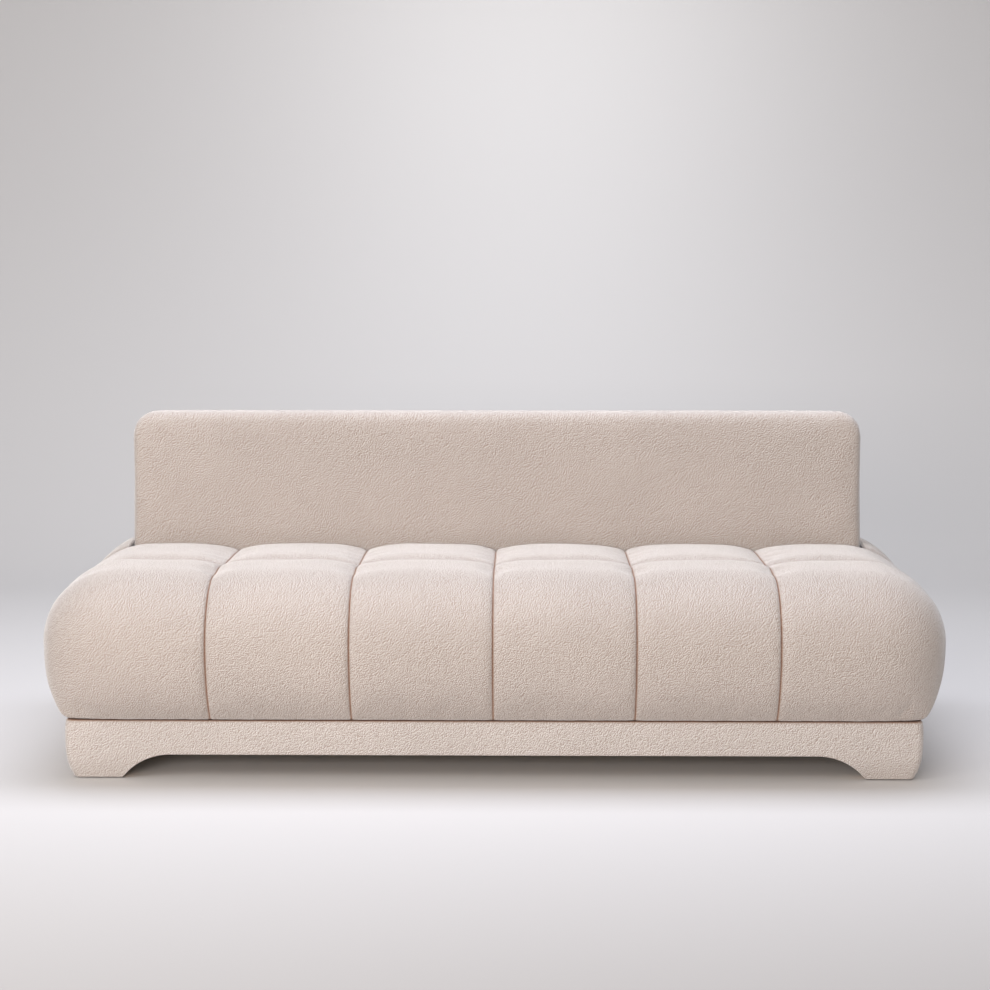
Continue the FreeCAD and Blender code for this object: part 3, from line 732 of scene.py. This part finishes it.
def mesh_object(name, points, faces, gaps=None, held=None):
    """Make a smooth mesh object that stores its gap to a seam and where it is held."""
    mesh = bpy.data.meshes.new(name)
    mesh.from_pydata([tuple(p) for p in points], [], faces)
    for label, values, plain in (("seam_gap", gaps, FAR_FROM_SEAM), ("held", held, 0.0)):
        layer = mesh.attributes.new(label, "FLOAT", "POINT")
        filled = [plain] * len(points) if values is None else [float(v) for v in values]
        layer.data.foreach_set("value", filled)
    mesh.update()
    made = bpy.data.objects.new(name, mesh)
    bpy.context.collection.objects.link(made)
    mesh.shade_smooth()
    return made


def quads_between(rings, per):
    """Return the faces that join each ring of points to the next one."""
    faces = []
    for r in range(rings - 1):
        for k in range(per):
            a, b = r * per + k, r * per + (k + 1) % per
            faces.append((a, b, b + per, a + per))
    return faces


def tidy(piece, merge=1e-5):
    """Merge doubled points, drop loose ones, and turn all faces outwards."""
    work = bmesh.new()
    work.from_mesh(piece.data)
    bmesh.ops.remove_doubles(work, verts=work.verts, dist=merge)
    bmesh.ops.delete(work, geom=[v for v in work.verts if not v.link_faces], context="VERTS")
    bmesh.ops.recalc_face_normals(work, faces=work.faces)
    work.to_mesh(piece.data)
    work.free()
    piece.data.shade_smooth()


# %% [markdown]
# The stitched lines, the side against the backrest and the ridge at each rounded end are
# held. The hold on the ridge fades out over 30 mm, so that the end still bellies out.

# %% Covers of the two blocks
HEM = 0.035
HELD_BAND = 0.0016
RIDGE_STILL = 0.001
RIDGE_FREE = 0.030
UNDERSIDE_EASE = 1e-4


def row_cover(name, row):
    """Build the cover of one block of channels."""
    cols = columns()
    points, gaps, held = [], [], []
    for x, draw_front, draw_crown, side_gap in cols:
        ridge = 1.0 - smooth_step(HALF_WIDTH - abs(x), RIDGE_STILL, RIDGE_FREE)
        for y, z in row_points(x, draw_front, draw_crown, row):
            points.append((x, y, z))
            inward = abs(y - row["outer"]) * (1 if (y - row["outer"]) * row["inward"] > 0 else -1)
            gap = min(side_gap, abs(z - PLINTH_TOP))
            to_cross = FAR_FROM_SEAM
            if row["seam"] is not None and z > SWELL_HEIGHT:
                to_cross = abs(inward - row["seam"])
            # The cross seam's gap is set back, so only a little of the painted seam shade and none of
            # the thread shows along it.
            gaps.append(min(gap, to_cross + CROSS_SEAM_DEPTH))
            against_side = inward > row["flat"](x) - HELD_BAND
            stitched = min(gap, to_cross) < HELD_BAND
            held.append(1.0 if stitched or against_side else ridge)
    faces = []
    for face in quads_between(len(cols), len(points) // len(cols)):
        corners = [points[i] for i in face]
        under = all(p[2] < PLINTH_TOP + UNDERSIDE_EASE for p in corners)
        inside = all(abs(p[0]) < PLINTH_HALF - HEM and abs(p[1] - row["outer"]) > HEM
                     for p in corners)
        if not (under and inside):
            faces.append(face)
    made = mesh_object(name, points, faces, gaps, held)
    tidy(made)
    made.data.materials.append(fabric)
    print(name, "points", len(made.data.vertices))
    return made


seat_cover = row_cover("seat_upholstery", front_rows)
rear_cover = row_cover("rear_upholstery", rear_row)

# %% [markdown]
# ## Plinth covers
# The plinth's boards are padded and wrapped in the same fabric. The wrap is widest a
# little below its top, draws in towards the floor, and is cut to the flat arches between
# the feet. It is built as a closed tube that runs round the boards, with a rounded edge
# where the fabric turns under.

# %% Faces and arches of the plinth
BAND_DROP = 0.028
BAND_TO_TOP = 0.003
BAND_TO_FLOOR = 0.017
FACE_CURVE = 3.4
FLOOR_GAP = base_low.z
ARCH_CLEARANCE = 0.059
ARCH_REACH = 0.114
FOOT_WIDTH = 0.112
PLINTH_STEP = 0.028
ARCH_STEP = 0.007
SAME_PLACE = 1e-6


def plinth_draw(z):
    """How far the wrap is drawn in from its widest band at a height."""
    band = PLINTH_TOP - BAND_DROP
    if z > band:
        return BAND_TO_TOP * ((z - band) / BAND_DROP) ** 2
    return BAND_TO_FLOOR * ((band - z) / (band - FLOOR_GAP)) ** FACE_CURVE


def arch_span(half):
    """How far from the middle of a face its arch leaves the floor and reaches full height."""
    foot = half - BAND_TO_FLOOR - FOOT_WIDTH
    return foot, foot - ARCH_REACH


def arch_edge(u, half):
    """Height of the wrap's lower edge at a distance u from the middle of a face."""
    foot, top = arch_span(half)
    radius = (ARCH_REACH ** 2 + ARCH_CLEARANCE ** 2) / (2 * ARCH_CLEARANCE)
    if abs(u) >= foot:
        return FLOOR_GAP
    if abs(u) <= top:
        return ARCH_CLEARANCE
    over = abs(u) - top
    return max(FLOOR_GAP, ARCH_CLEARANCE - radius + math.sqrt(radius ** 2 - over ** 2))


def face_places(half, start, end):
    """Places along a face from start to end, closer together over the arch's curves."""
    foot, top = arch_span(half)
    marks = sorted({v for v in (start, -foot, -top, top, foot, end) if start <= v <= end})
    places = [marks[0]]
    for a, b in zip(marks, marks[1:]):
        curved = top - SAME_PLACE <= abs((a + b) / 2) <= foot + SAME_PLACE
        count = max(1, round((b - a) / (ARCH_STEP if curved else PLINTH_STEP)))
        places += [a + (b - a) * k / count for k in range(1, count + 1)]
    return places


print("the wrap is drawn in at the floor by", round(plinth_draw(FLOOR_GAP), 4))

# %% [markdown]
# A station is one place round the plinth where the section of the wrap stands. The stations
# run up the left side, round a corner, along the front, and back down the right side. Each
# one is a rule that gives its place for a draw, so that the corners stay round all the way
# down while the faces draw in.

# %% Stations round the plinth
PLINTH_CORNER = 0.018
CORNER_STEPS = 6
END_FOOT = arch_span(PLINTH_HALF)[0]
FRONT_FOOT = arch_span(-PLINTH_FRONT)[0]


def plinth_stations(y_cut):
    """Return (place for a draw, lower edge) for each station round the plinth's front."""
    depth = -PLINTH_FRONT
    x_end, y_end = PLINTH_HALF - PLINTH_CORNER, depth - PLINTH_CORNER
    side = []
    for y in face_places(depth, -y_end, y_cut)[::-1]:
        side.append((lambda d, y=y: (
            -(PLINTH_HALF - d), y + d * smooth_step(-y, FRONT_FOOT, y_end)), arch_edge(y, depth)))
    for k in range(1, CORNER_STEPS):
        a = math.pi / 2 * k / CORNER_STEPS
        side.append((lambda d, a=a: (
            -(x_end - d) - PLINTH_CORNER * math.cos(a), -(y_end - d) - PLINTH_CORNER * math.sin(a)),
            FLOOR_GAP))
    front = []
    for x in face_places(PLINTH_HALF, -x_end, x_end):
        front.append((lambda d, x=x: (
            x - math.copysign(d, x) * smooth_step(abs(x), END_FOOT, x_end), -(depth - d)),
            arch_edge(x, PLINTH_HALF)))
    other = [(lambda d, f=f: (-f(d)[0], f(d)[1]), edge) for f, edge in side[::-1]]
    return side + front + other


print("stations", len(plinth_stations(base_high.y)))

# %% [markdown]
# The section is a closed loop: over the board's top edge, down the padded face, round the
# lower edge, and up the back against the board. One tube is made for the half of the plinth
# that slides and one for the half that stays.

# %% Plinth covers
EDGE_ROUND = 0.003
TOP_TURN = 0.004
TOP_DROP = 0.002
BOARD_GAP = 0.0005
WRAP = PLINTH_HALF - BOARD_HALF - BOARD_GAP
FACE_STEPS = 12
EDGE_STEPS = 5
BACK_STEPS = 6


def plinth_loop(lower):
    """Return (draw, z) points round the wrap's section above a lower edge."""
    loop = [(WRAP, PLINTH_TOP), (BAND_TO_TOP + TOP_TURN, PLINTH_TOP)]
    high = PLINTH_TOP - TOP_DROP
    low = lower + EDGE_ROUND
    for k in range(FACE_STEPS + 1):
        z = high + (low - high) * k / FACE_STEPS
        loop.append((plinth_draw(z), z))
    for k in range(1, EDGE_STEPS + 1):
        a = math.pi / 2 * k / EDGE_STEPS
        loop.append((plinth_draw(low) + EDGE_ROUND * (1 - math.cos(a)), low - EDGE_ROUND * math.sin(a)))
    loop.append((WRAP, lower))
    for k in range(1, BACK_STEPS):
        loop.append((WRAP, lower + (PLINTH_TOP - lower) * k / BACK_STEPS))
    return loop


def plinth_cover(name, y_cut, to_rear):
    """Wrap one end of the plinth, from one cut on its left face round to the right one."""
    stations = plinth_stations(y_cut)
    points = []
    for place, lower in stations:
        for draw, z in plinth_loop(lower):
            x, y = place(draw)
            points.append((x, -y if to_rear else y, z))
    per = len(points) // len(stations)
    faces = quads_between(len(stations), per)
    faces.append(tuple(range(per)))
    faces.append(tuple(range(len(points) - per, len(points))))
    gaps = [PLINTH_TOP - p[2] for p in points]
    made = mesh_object(name, points, faces, gaps)
    tidy(made)
    # The plinth's wrap takes the copy of the fabric whose colour is painted lighter.
    made.data.materials.append(taut_fabric_painted_lighter)
    print(name, "points", len(made.data.vertices))
    return made


front_plinth = plinth_cover("front_plinth_upholstery", base_high.y, False)
rear_plinth = plinth_cover("rear_plinth_upholstery", -back_low.y, True)

# %% [markdown]
# ## Backrest
# The backrest is a slab of foam on a timber frame with one fitted cover. Its section is a
# rounded block with a half-round foot, and its upper corners are rounded in the front view.
# The outline is laid out once for each of a row of depths, then remeshed in even cells so
# that the cloth can settle on it. The cover is one panel over the front, top and sides, and
# it is sewn to a flat rear panel a little inside the back edge, where the only seam is.

# %% Outline of the backrest
SLAB_CORNER = 0.060
SLAB_EDGE = 0.022
SLAB_STEPS = 10
SLAB_EASE = 0.003
SLAB_MIDDLE = (slab_low.y + slab_high.y) / 2
SLAB_FOOT = (slab_high.y - slab_low.y) / 2


def slab_outline(draw, y):
    """Return the (x, z) outline of the block at a depth y from its middle."""
    x1, z1 = slab_high.x - SLAB_EASE - draw, slab_high.z - draw
    low = slab_low.z + SLAB_FOOT - math.sqrt(max(0.0, SLAB_FOOT ** 2 - y ** 2))
    radius = SLAB_CORNER - draw
    quarter = [math.pi / 2 * k / SLAB_STEPS for k in range(SLAB_STEPS + 1)]
    right = [(x1 - radius + radius * math.cos(a), z1 - radius + radius * math.sin(a)) for a in quarter]
    return [(-x1, low), (x1, low)] + right + [(-x, z) for x, z in reversed(right)]


def slab_block(name):
    """Build the block from one outline for each of a row of depths."""
    quarter = [math.pi / 2 * k / SLAB_STEPS for k in range(SLAB_STEPS + 1)]
    front = [(-SLAB_FOOT + SLAB_EDGE * (1 - math.sin(a)), SLAB_EDGE * (1 - math.cos(a)))
             for a in reversed(quarter)]
    rings = front + [(-y, draw) for y, draw in reversed(front)]
    points = []
    for y, draw in rings:
        points += [(x, SLAB_MIDDLE + y, z) for x, z in slab_outline(draw, y)]
    count = len(points) // len(rings)
    faces = quads_between(len(rings), count)
    faces.append(tuple(range(count)))
    faces.append(tuple(range((len(rings) - 1) * count, len(rings) * count)))
    made = mesh_object(name, points, faces)
    tidy(made)
    return made


block = slab_block("backrest_block")
print("block points", len(block.data.vertices))

# %% [markdown]
# The remesh cuts the block into even cells of 12 mm, which settle as one piece of cloth
# would. The part below the seat's crown is out of sight in the slot and stays as it is, and
# so does the seam on the rear panel.

# %% Backrest cover
SLAB_CELL = 0.012
REAR_SEAM_INSET = 0.030
FREE_ABOVE = 0.08
SEAM_CELLS = 0.6


def even_cells(rough):
    """Return the points and faces of a block remeshed in even cells, and drop the block."""
    even = rough.modifiers.new("even", "REMESH")
    even.mode = "VOXEL"
    even.voxel_size = SLAB_CELL
    seen = rough.evaluated_get(bpy.context.evaluated_depsgraph_get())
    cells = [v.co.copy() for v in seen.data.vertices]
    quads = [tuple(f.vertices) for f in seen.data.polygons]
    bpy.data.objects.remove(rough)
    return cells, quads


def slab_cover(name, rough):
    """Turn the block into a cover that knows its rear seam and where it is held."""
    cells, quads = even_cells(rough)
    gaps, held = [], []
    inset_x, inset_z = slab_high.x - SLAB_EASE - REAR_SEAM_INSET, slab_high.z - REAR_SEAM_INSET
    for p in cells:
        to_seam = max(abs(p.x) - inset_x, p.z - inset_z)
        on_rear = p.y > slab_high.y - 0.5 * SLAB_EDGE
        gaps.append(abs(to_seam) if on_rear else FAR_FROM_SEAM)
        below = 1.0 - smooth_step(p.z, CROWN, CROWN + FREE_ABOVE)
        stitched = on_rear and abs(to_seam) < SEAM_CELLS * SLAB_CELL
        held.append(max(below, 1.0 if stitched else 0.0))
    made = mesh_object(name, cells, quads, gaps, held)
    made.data.materials.append(fabric)
    print(name, "points", len(cells))
    return made


slab = slab_cover("backrest_upholstery", block)

# %% [markdown]
# ## Foam cores
# Inside the covers are cut foam blocks. Each keeps the size of its block in the frame,
# with edges that the cover has rounded and a top that bows up a little between them.

# %% Foam cores
CORE_EDGE = 0.012
CORE_CROWN = 0.003
CORE_CELLS = (24, 10, 6)
FULL_SPAN = 1.9
EDGE_MOST = 0.45


def foam_core(name, node):
    """Make a foam block with edges rounded by wear and a slightly bowed top."""
    low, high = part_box(node)
    middle, half = (low + high) / 2, (high - low) / 2
    edge = min(CORE_EDGE, EDGE_MOST * min(half))
    work = bmesh.new()
    bmesh.ops.create_cube(work, size=2.0)
    for axis, cells in enumerate(CORE_CELLS):
        across = [e for e in work.edges if abs((e.verts[0].co - e.verts[1].co)[axis]) > FULL_SPAN]
        bmesh.ops.subdivide_edges(work, edges=across, cuts=cells, use_grid_fill=True)
    for vert in work.verts:
        place = Vector([vert.co[i] * half[i] for i in range(3)])
        inner = Vector([max(-(half[i] - edge), min(half[i] - edge, place[i])) for i in range(3)])
        out = place - inner
        if out.length > edge:
            place = inner + out * (edge / out.length)
        bow = (1 - (place.x / half.x) ** 2) * (1 - (place.y / half.y) ** 2)
        place.z += CORE_CROWN * bow * max(0.0, place.z / half.z)
        vert.co = place + middle
    mesh = bpy.data.meshes.new(name)
    work.to_mesh(mesh)
    work.free()
    made = bpy.data.objects.new(name, mesh)
    bpy.context.collection.objects.link(made)
    tidy(made)
    mesh.materials.append(foam)
    return made


seat_core = foam_core("seat_foam_core", "seat_foam")
rear_core = foam_core("rear_foam_core", "rear_foam")
slab_core = foam_core("backrest_foam_core", "backrest_foam")
slab_rear_core = foam_core("backrest_rear_foam_core", "backrest_rear_foam")
print("foam cores", seat_core.name, rear_core.name, slab_core.name, slab_rear_core.name)

# %% [markdown]
# ## Camera
# The camera stands a little above the top of the backrest and looks slightly down, as a
# standing photographer with a long lens would. Its place and its angle of view come from
# fitting the plinth's corners, the seat's ends and the backrest's top to the photograph.

# %% Camera
CAMERA_PLACE = (0.065, -5.127, 1.193)
CAMERA_TILT = 6.47
CAMERA_TURN = 0.74
PHOTO_SIZE = 990
FOCAL_PIXELS = 2099.0
SENSOR_WIDTH = 36.0

lens = bpy.data.cameras.new("camera")
lens.sensor_width = SENSOR_WIDTH
lens.lens = FOCAL_PIXELS / PHOTO_SIZE * SENSOR_WIDTH
camera = bpy.data.objects.new("camera", lens)
camera.location = CAMERA_PLACE
camera.rotation_euler = (math.radians(90 - CAMERA_TILT), 0, math.radians(CAMERA_TURN))
bpy.context.collection.objects.link(camera)
bpy.context.scene.camera = camera
bpy.context.scene.view_settings.view_transform = "Standard"
print("focal length in mm", round(lens.lens, 1))

# %% [markdown]
# ## Studio
# The sofa stands on a painted cove: floor and wall are one sheet with a swept corner. Its
# paint is a pale warm grey. The photograph's wall has a soft bright pool above the sofa, and
# its floor darkens towards the camera, so the paint is shaded by place in the same way and
# no lamp has to make it. The pool fades with the square of the distance from its middle,
# counted in its own half widths, as a bell curve does.

# %% Paint of the cove
COVE_GREY = "#CBC9C8"
COVE_PAINTED_GLOW = "#F4F3F2"
FLOOR_GREY = "#CDCAC8"
FLOOR_NEAR_PAINTED_SHADE = "#ABA8A6"
GLOW_X = 0.15
GLOW_Z = 2.9
GLOW_WIDE = 1.25
GLOW_TALL = 2.1
NEAR_FULL = -2.0
NEAR_NONE = -0.7
COVE_FLAT = 1.0
COVE_BEND = 2.4
COVE_RADIUS = 1.6

cove_paint, tree = new_material("painted_studio_cove")
place = add(tree, "ShaderNodeSeparateXYZ", {
    "Vector": add(tree, "ShaderNodeTexCoord").outputs["Object"]}).outputs
across = add(tree, "ShaderNodeMapRange", {
    "Value": place["X"], "From Min": GLOW_X - GLOW_WIDE, "From Max": GLOW_X + GLOW_WIDE,
    "To Min": -1.0}, clamp=False).outputs[0]
upward = add(tree, "ShaderNodeMapRange", {
    "Value": place["Z"], "From Min": GLOW_Z - GLOW_TALL, "From Max": GLOW_Z + GLOW_TALL,
    "To Min": -1.0}, clamp=False).outputs[0]
from_glow = add(tree, "ShaderNodeCombineXYZ", {"X": across, "Y": upward}).outputs[0]
far = add(tree, "ShaderNodeVectorMath", {0: from_glow}, operation="LENGTH").outputs["Value"]
squared = add(tree, "ShaderNodeMath", {0: far, 1: far}, operation="MULTIPLY").outputs[0]
# Painted light: a bright pool on the wall that fades as a bell curve.
pool = add(tree, "ShaderNodeMath", {0: math.exp(-1.0), 1: squared}, operation="POWER").outputs[0]
wall = add(tree, "ShaderNodeMix", {
    MIX_SHARE: pool, MIX_FIRST: linear(COVE_GREY), MIX_SECOND: linear(COVE_PAINTED_GLOW)},
    data_type="RGBA").outputs[MIX_RESULT]
on_floor = add(tree, "ShaderNodeMapRange", {
    "Value": place["Y"], "From Min": COVE_FLAT, "From Max": COVE_BEND + COVE_RADIUS,
    "To Min": 1.0, "To Max": 0.0}).outputs[0]
floor = add(tree, "ShaderNodeMix", {
    MIX_SHARE: on_floor, MIX_FIRST: wall, MIX_SECOND: linear(FLOOR_GREY)},
    data_type="RGBA").outputs[MIX_RESULT]
# Painted shade: the floor is painted darker towards the camera.
near = add(tree, "ShaderNodeMapRange", {
    "Value": place["Y"], "From Min": NEAR_FULL, "From Max": NEAR_NONE,
    "To Min": 1.0, "To Max": 0.0}).outputs[0]
painted = add(tree, "ShaderNodeMix", {
    MIX_SHARE: near, MIX_FIRST: floor, MIX_SECOND: linear(FLOOR_NEAR_PAINTED_SHADE)},
    data_type="RGBA").outputs[MIX_RESULT]
diffuse = add(tree, "ShaderNodeBsdfDiffuse", {"Color": painted}).outputs[0]
add(tree, "ShaderNodeOutputMaterial", {"Surface": diffuse})
print("cove painted with", len(tree.nodes), "nodes")

# %% [markdown]
# The sheet itself is one profile drawn out to both sides: flat floor, a quarter round, and the wall. It
# is only a setting for the photograph.

# %% Sheet of the cove
COVE_HALF = 30.0
COVE_TOP = 7.0
BEND_STEPS = 12

profile = [(-COVE_HALF, 0.0), (COVE_BEND, 0.0)]
for k in range(1, BEND_STEPS + 1):
    angle = math.pi / 2 * k / BEND_STEPS
    profile.append((COVE_BEND + COVE_RADIUS * math.sin(angle), COVE_RADIUS * (1 - math.cos(angle))))
profile.append((COVE_BEND + COVE_RADIUS, COVE_TOP))
points = [(x, y, z) for x in (-COVE_HALF, COVE_HALF) for y, z in profile]
count = len(profile)
cove = mesh_object("studio_cove", points, [
    (k, k + 1, k + 1 + count, k + count) for k in range(count - 1)])
cove.data.materials.append(cove_paint)
print("cove profile points", count)

# %% [markdown]
# Three soft lamps light it: a large cool one overhead, a key from the left and in front, and
# a wide warm one beside the camera, low enough to reach under the swell of the seat. The
# sky around them is a plain pale grey that fills the shadows.

# %% Lamps and sky
KEY_WATTS = 64
TOP_WATTS = 126
FRONT_WATTS = 200
SKY_GREY = "#F4F3F2"
SKY_STRENGTH = 0.52


def lamp(name, place, target, size, power, colour):
    """Add a rectangular soft light that faces a target."""
    data = bpy.data.lights.new(name, "AREA")
    data.shape = "RECTANGLE"
    data.size, data.size_y = size
    data.energy = power
    data.color = linear(colour)[:3]
    made = bpy.data.objects.new(name, data)
    made.location = place
    made.rotation_euler = (Vector(target) - Vector(place)).to_track_quat("-Z", "Y").to_euler()
    bpy.context.collection.objects.link(made)
    return made


lamp("key", (-2.8, -3.4, 2.6), (0, 0, 0.4), (2.2, 2.0), KEY_WATTS, "#FFFEFD")
lamp("top", (0.0, 0.2, 3.4), (0, 0.1, 0.4), (3.8, 2.0), TOP_WATTS, "#EAF0FF")
lamp("front", (-1.2, -5.6, 1.5), (0, 0, 0.2), (3.0, 1.0), FRONT_WATTS, "#FFF6F0")
world = bpy.data.worlds.new("studio")
bpy.context.scene.world = world
world.use_nodes = True
world.node_tree.nodes["Background"].inputs["Color"].default_value = linear(SKY_GREY)
world.node_tree.nodes["Background"].inputs["Strength"].default_value = SKY_STRENGTH
print("lamps", len(bpy.data.lights), "sky", SKY_GREY, SKY_STRENGTH)

# %% [markdown]
# ## Settling the padding
# A sewn cover is cut a little larger than its pad and stuffed tight, so it bellies out
# between the seams and gathers slightly along them. A short cloth simulation does that:
# the stitched lines and the stapled hem are held, an even pressure pushes from inside, and
# the cloth may grow by a small share of its length. The result is read once, and the cloth
# modifier goes.

# %% Cloth under pressure
SETTLE_FRAMES = 20
HELD_FAST = 0.99


def places_of(piece):
    """Return the points of a piece as rows of x, y and z."""
    places = np.empty(len(piece.data.vertices) * 3)
    piece.data.vertices.foreach_get("co", places)
    return places.reshape(-1, 3)


def values_of(piece, label):
    """Return the number that each point of a piece carries under a label."""
    values = np.empty(len(piece.data.vertices))
    piece.data.attributes[label].data.foreach_get("value", values)
    return values


def pressed_out(piece, held, pressure, growth):
    """Return where the points of a cover come to rest when an even pressure pushes from inside."""
    group = piece.vertex_groups.new(name="held")
    for index in np.nonzero(held > HELD_FAST)[0]:
        group.add([int(index)], 1.0, "REPLACE")
    cloth = piece.modifiers.new("settle", "CLOTH")
    cloth.settings.quality = 4
    cloth.settings.mass = 0.4
    cloth.settings.tension_stiffness = 15
    cloth.settings.compression_stiffness = 15
    cloth.settings.shear_stiffness = 6
    cloth.settings.bending_stiffness = 1.5
    cloth.settings.vertex_group_mass = "held"
    cloth.settings.use_pressure = True
    cloth.settings.uniform_pressure_force = pressure
    cloth.settings.shrink_min = -growth
    cloth.settings.effector_weights.gravity = 0
    cloth.collision_settings.use_collision = False
    cloth.point_cache.frame_start = 1
    cloth.point_cache.frame_end = SETTLE_FRAMES
    for step in range(1, SETTLE_FRAMES + 1):
        bpy.context.scene.frame_set(step)
    rested = places_of(piece.evaluated_get(bpy.context.evaluated_depsgraph_get()))
    piece.modifiers.remove(cloth)
    piece.vertex_groups.clear()
    bpy.context.scene.frame_set(1)
    return rested


# %% [markdown]
# No point may move further than a cap, which keeps the cover inside the space that the
# frame gives it, and the ridge at a row's rounded end stays shut. The backrest was remeshed
# in small steps, so it is smoothed before and after. Smoothing takes some of its height,
# and the pressure adds to its thickness, so it is fitted back into its box at the end.

# %% Settling
COVER_PRESSURE = 4.0
COVER_GROWTH = 0.012
COVER_CAP = 0.007
SLAB_PRESSURE = 2.0
SLAB_GROWTH = 0.0
SLAB_CAP = 0.004
BOX_EASE = 0.0008
NO_MOVE = 1e-9


def settle(piece, pressure, growth, cap):
    """Press the cover out from inside and keep the shape in which it comes to rest."""
    start, held = places_of(piece), values_of(piece, "held")
    move = pressed_out(piece, held, pressure, growth) - start
    move[~np.isfinite(move).all(axis=1)] = 0.0
    move *= (1.0 - held)[:, None]
    far = np.linalg.norm(move, axis=1)
    limit = cap * np.tanh(far / cap) / np.maximum(far, NO_MOVE)
    piece.data.vertices.foreach_set("co", (start + move * limit[:, None]).ravel())
    piece.data.update()
    moved = far * limit
    print(piece.name, "moved at most", round(float(moved.max()), 4),
          "mean", round(float(moved.mean()), 4))


def relax(piece, rounds, share=0.5):
    """Smooth the small steps out of a remeshed cover."""
    work = bmesh.new()
    work.from_mesh(piece.data)
    for step in range(rounds):
        bmesh.ops.smooth_vert(
            work, verts=work.verts, factor=share, use_axis_x=True, use_axis_y=True, use_axis_z=True)
    work.to_mesh(piece.data)
    work.free()
    print(piece.name, "smoothed", step + 1, "times")


def fill_box(piece, low, high):
    """Fit a cover back into its box by scaling it on each axis."""
    places = places_of(piece)
    near, far = places.min(axis=0), places.max(axis=0)
    share = (places - near) / (far - near)
    wanted_low = np.array(low) + BOX_EASE
    wanted_high = np.array(high) - BOX_EASE
    piece.data.vertices.foreach_set("co", (wanted_low + share * (wanted_high - wanted_low)).ravel())
    piece.data.update()
    change = (wanted_high - wanted_low) - (far - near)
    print(piece.name, "sides changed by", [round(float(v), 4) for v in change])


relax(slab, rounds=3)
for piece in (seat_cover, rear_cover):
    settle(piece, COVER_PRESSURE, COVER_GROWTH, COVER_CAP)
settle(slab, SLAB_PRESSURE, SLAB_GROWTH, SLAB_CAP)
relax(slab, rounds=2)
fill_box(slab, slab_low, slab_high)

# %% [markdown]
# ## Gathers and slack
# A thread pulls a thick fabric in by a slightly different amount at each stitch, so short
# gathers about 20 mm long run out from a seam and fade within 30 mm. The padding behind is
# laid by hand, so the open crown also rises and falls by a millimetre or so over a hand's
# breadth. Both come after the cloth has settled, on a mesh that is divided once more.

# %% Gathers
GATHER_SIZE = 0.020
GATHER_DEPTH = 0.0022
GATHER_REACH = 0.018
LUMP_SIZE = 0.120
LUMP_DEPTH = 0.0018
LUMP_CLEAR = 0.030
LUMP_PLACE = Vector((7.0, 3.0, 5.0))
SLAB_LUMPS = 0.5


def divide(piece):
    """Divide the mesh once and keep the result."""
    finer = piece.modifiers.new("finer", "SUBSURF")
    finer.levels = 1
    finer.render_levels = 1
    seen = piece.evaluated_get(bpy.context.evaluated_depsgraph_get())
    divided = bpy.data.meshes.new_from_object(seen)
    piece.modifiers.remove(finer)
    piece.data = divided
    divided.shade_smooth()


def gather(piece, lump_depth):
    """Add the gathers beside the seams and the slow rise and fall of the padding."""
    mesh = piece.data
    gaps, held = values_of(piece, "seam_gap").tolist(), values_of(piece, "held").tolist()
    directions = [v.normal.copy() for v in mesh.vertices]
    deepest = 0.0
    for vert, gap, still, normal in zip(mesh.vertices, gaps, held, directions):
        near = math.exp(-gap / GATHER_REACH) * min(1.0, gap / THREAD_HALF)
        move = GATHER_DEPTH * near * noise.noise(vert.co / GATHER_SIZE)
        open_share = smooth_step(gap, 0.0, LUMP_CLEAR)
        move += lump_depth * open_share * noise.noise(vert.co / LUMP_SIZE + LUMP_PLACE)
        move *= 1.0 - still
        vert.co += normal * move
        deepest = max(deepest, abs(move))
    mesh.update()
    print(piece.name, "gathered by at most", round(deepest, 4), "points", len(mesh.vertices))


SOFT_COVERS = ((seat_cover, LUMP_DEPTH), (rear_cover, LUMP_DEPTH), (slab, SLAB_LUMPS * LUMP_DEPTH))
for piece, lump_depth in SOFT_COVERS:
    divide(piece)
    gather(piece, lump_depth)

# %% [markdown]
# ## Riding
# Each cover rides the body that it is nailed to, takes the place of that body's plain
# solid, and so moves with it when the bed opens. The foam cores do the same. The last
# number says how tight a piece is stuffed, from 0, slack, to 1, full.

# %% Riding
COVERS = (
    (seat_cover, "seat", "seat_cover", 0.85),
    (rear_cover, "rear_base", "rear_cover", 0.85),
    (front_plinth, "seat", "front_base_cover", 0.9),
    (rear_plinth, "rear_base", "rear_base_cover", 0.9),
    (slab, "backrest", "backrest_cover", 0.9),
)
for piece, body, node, fill in COVERS:
    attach(piece, body)
    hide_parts(node)

CORES = (
    (seat_core, "seat", "seat_foam"),
    (rear_core, "rear_base", "rear_foam"),
    (slab_core, "backrest", "backrest_foam"),
    (slab_rear_core, "backrest", "backrest_rear_foam"),
)
for piece, body, node in CORES:
    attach(piece, body)
    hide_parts(node)
print("covers", len(COVERS), "cores", len(CORES))
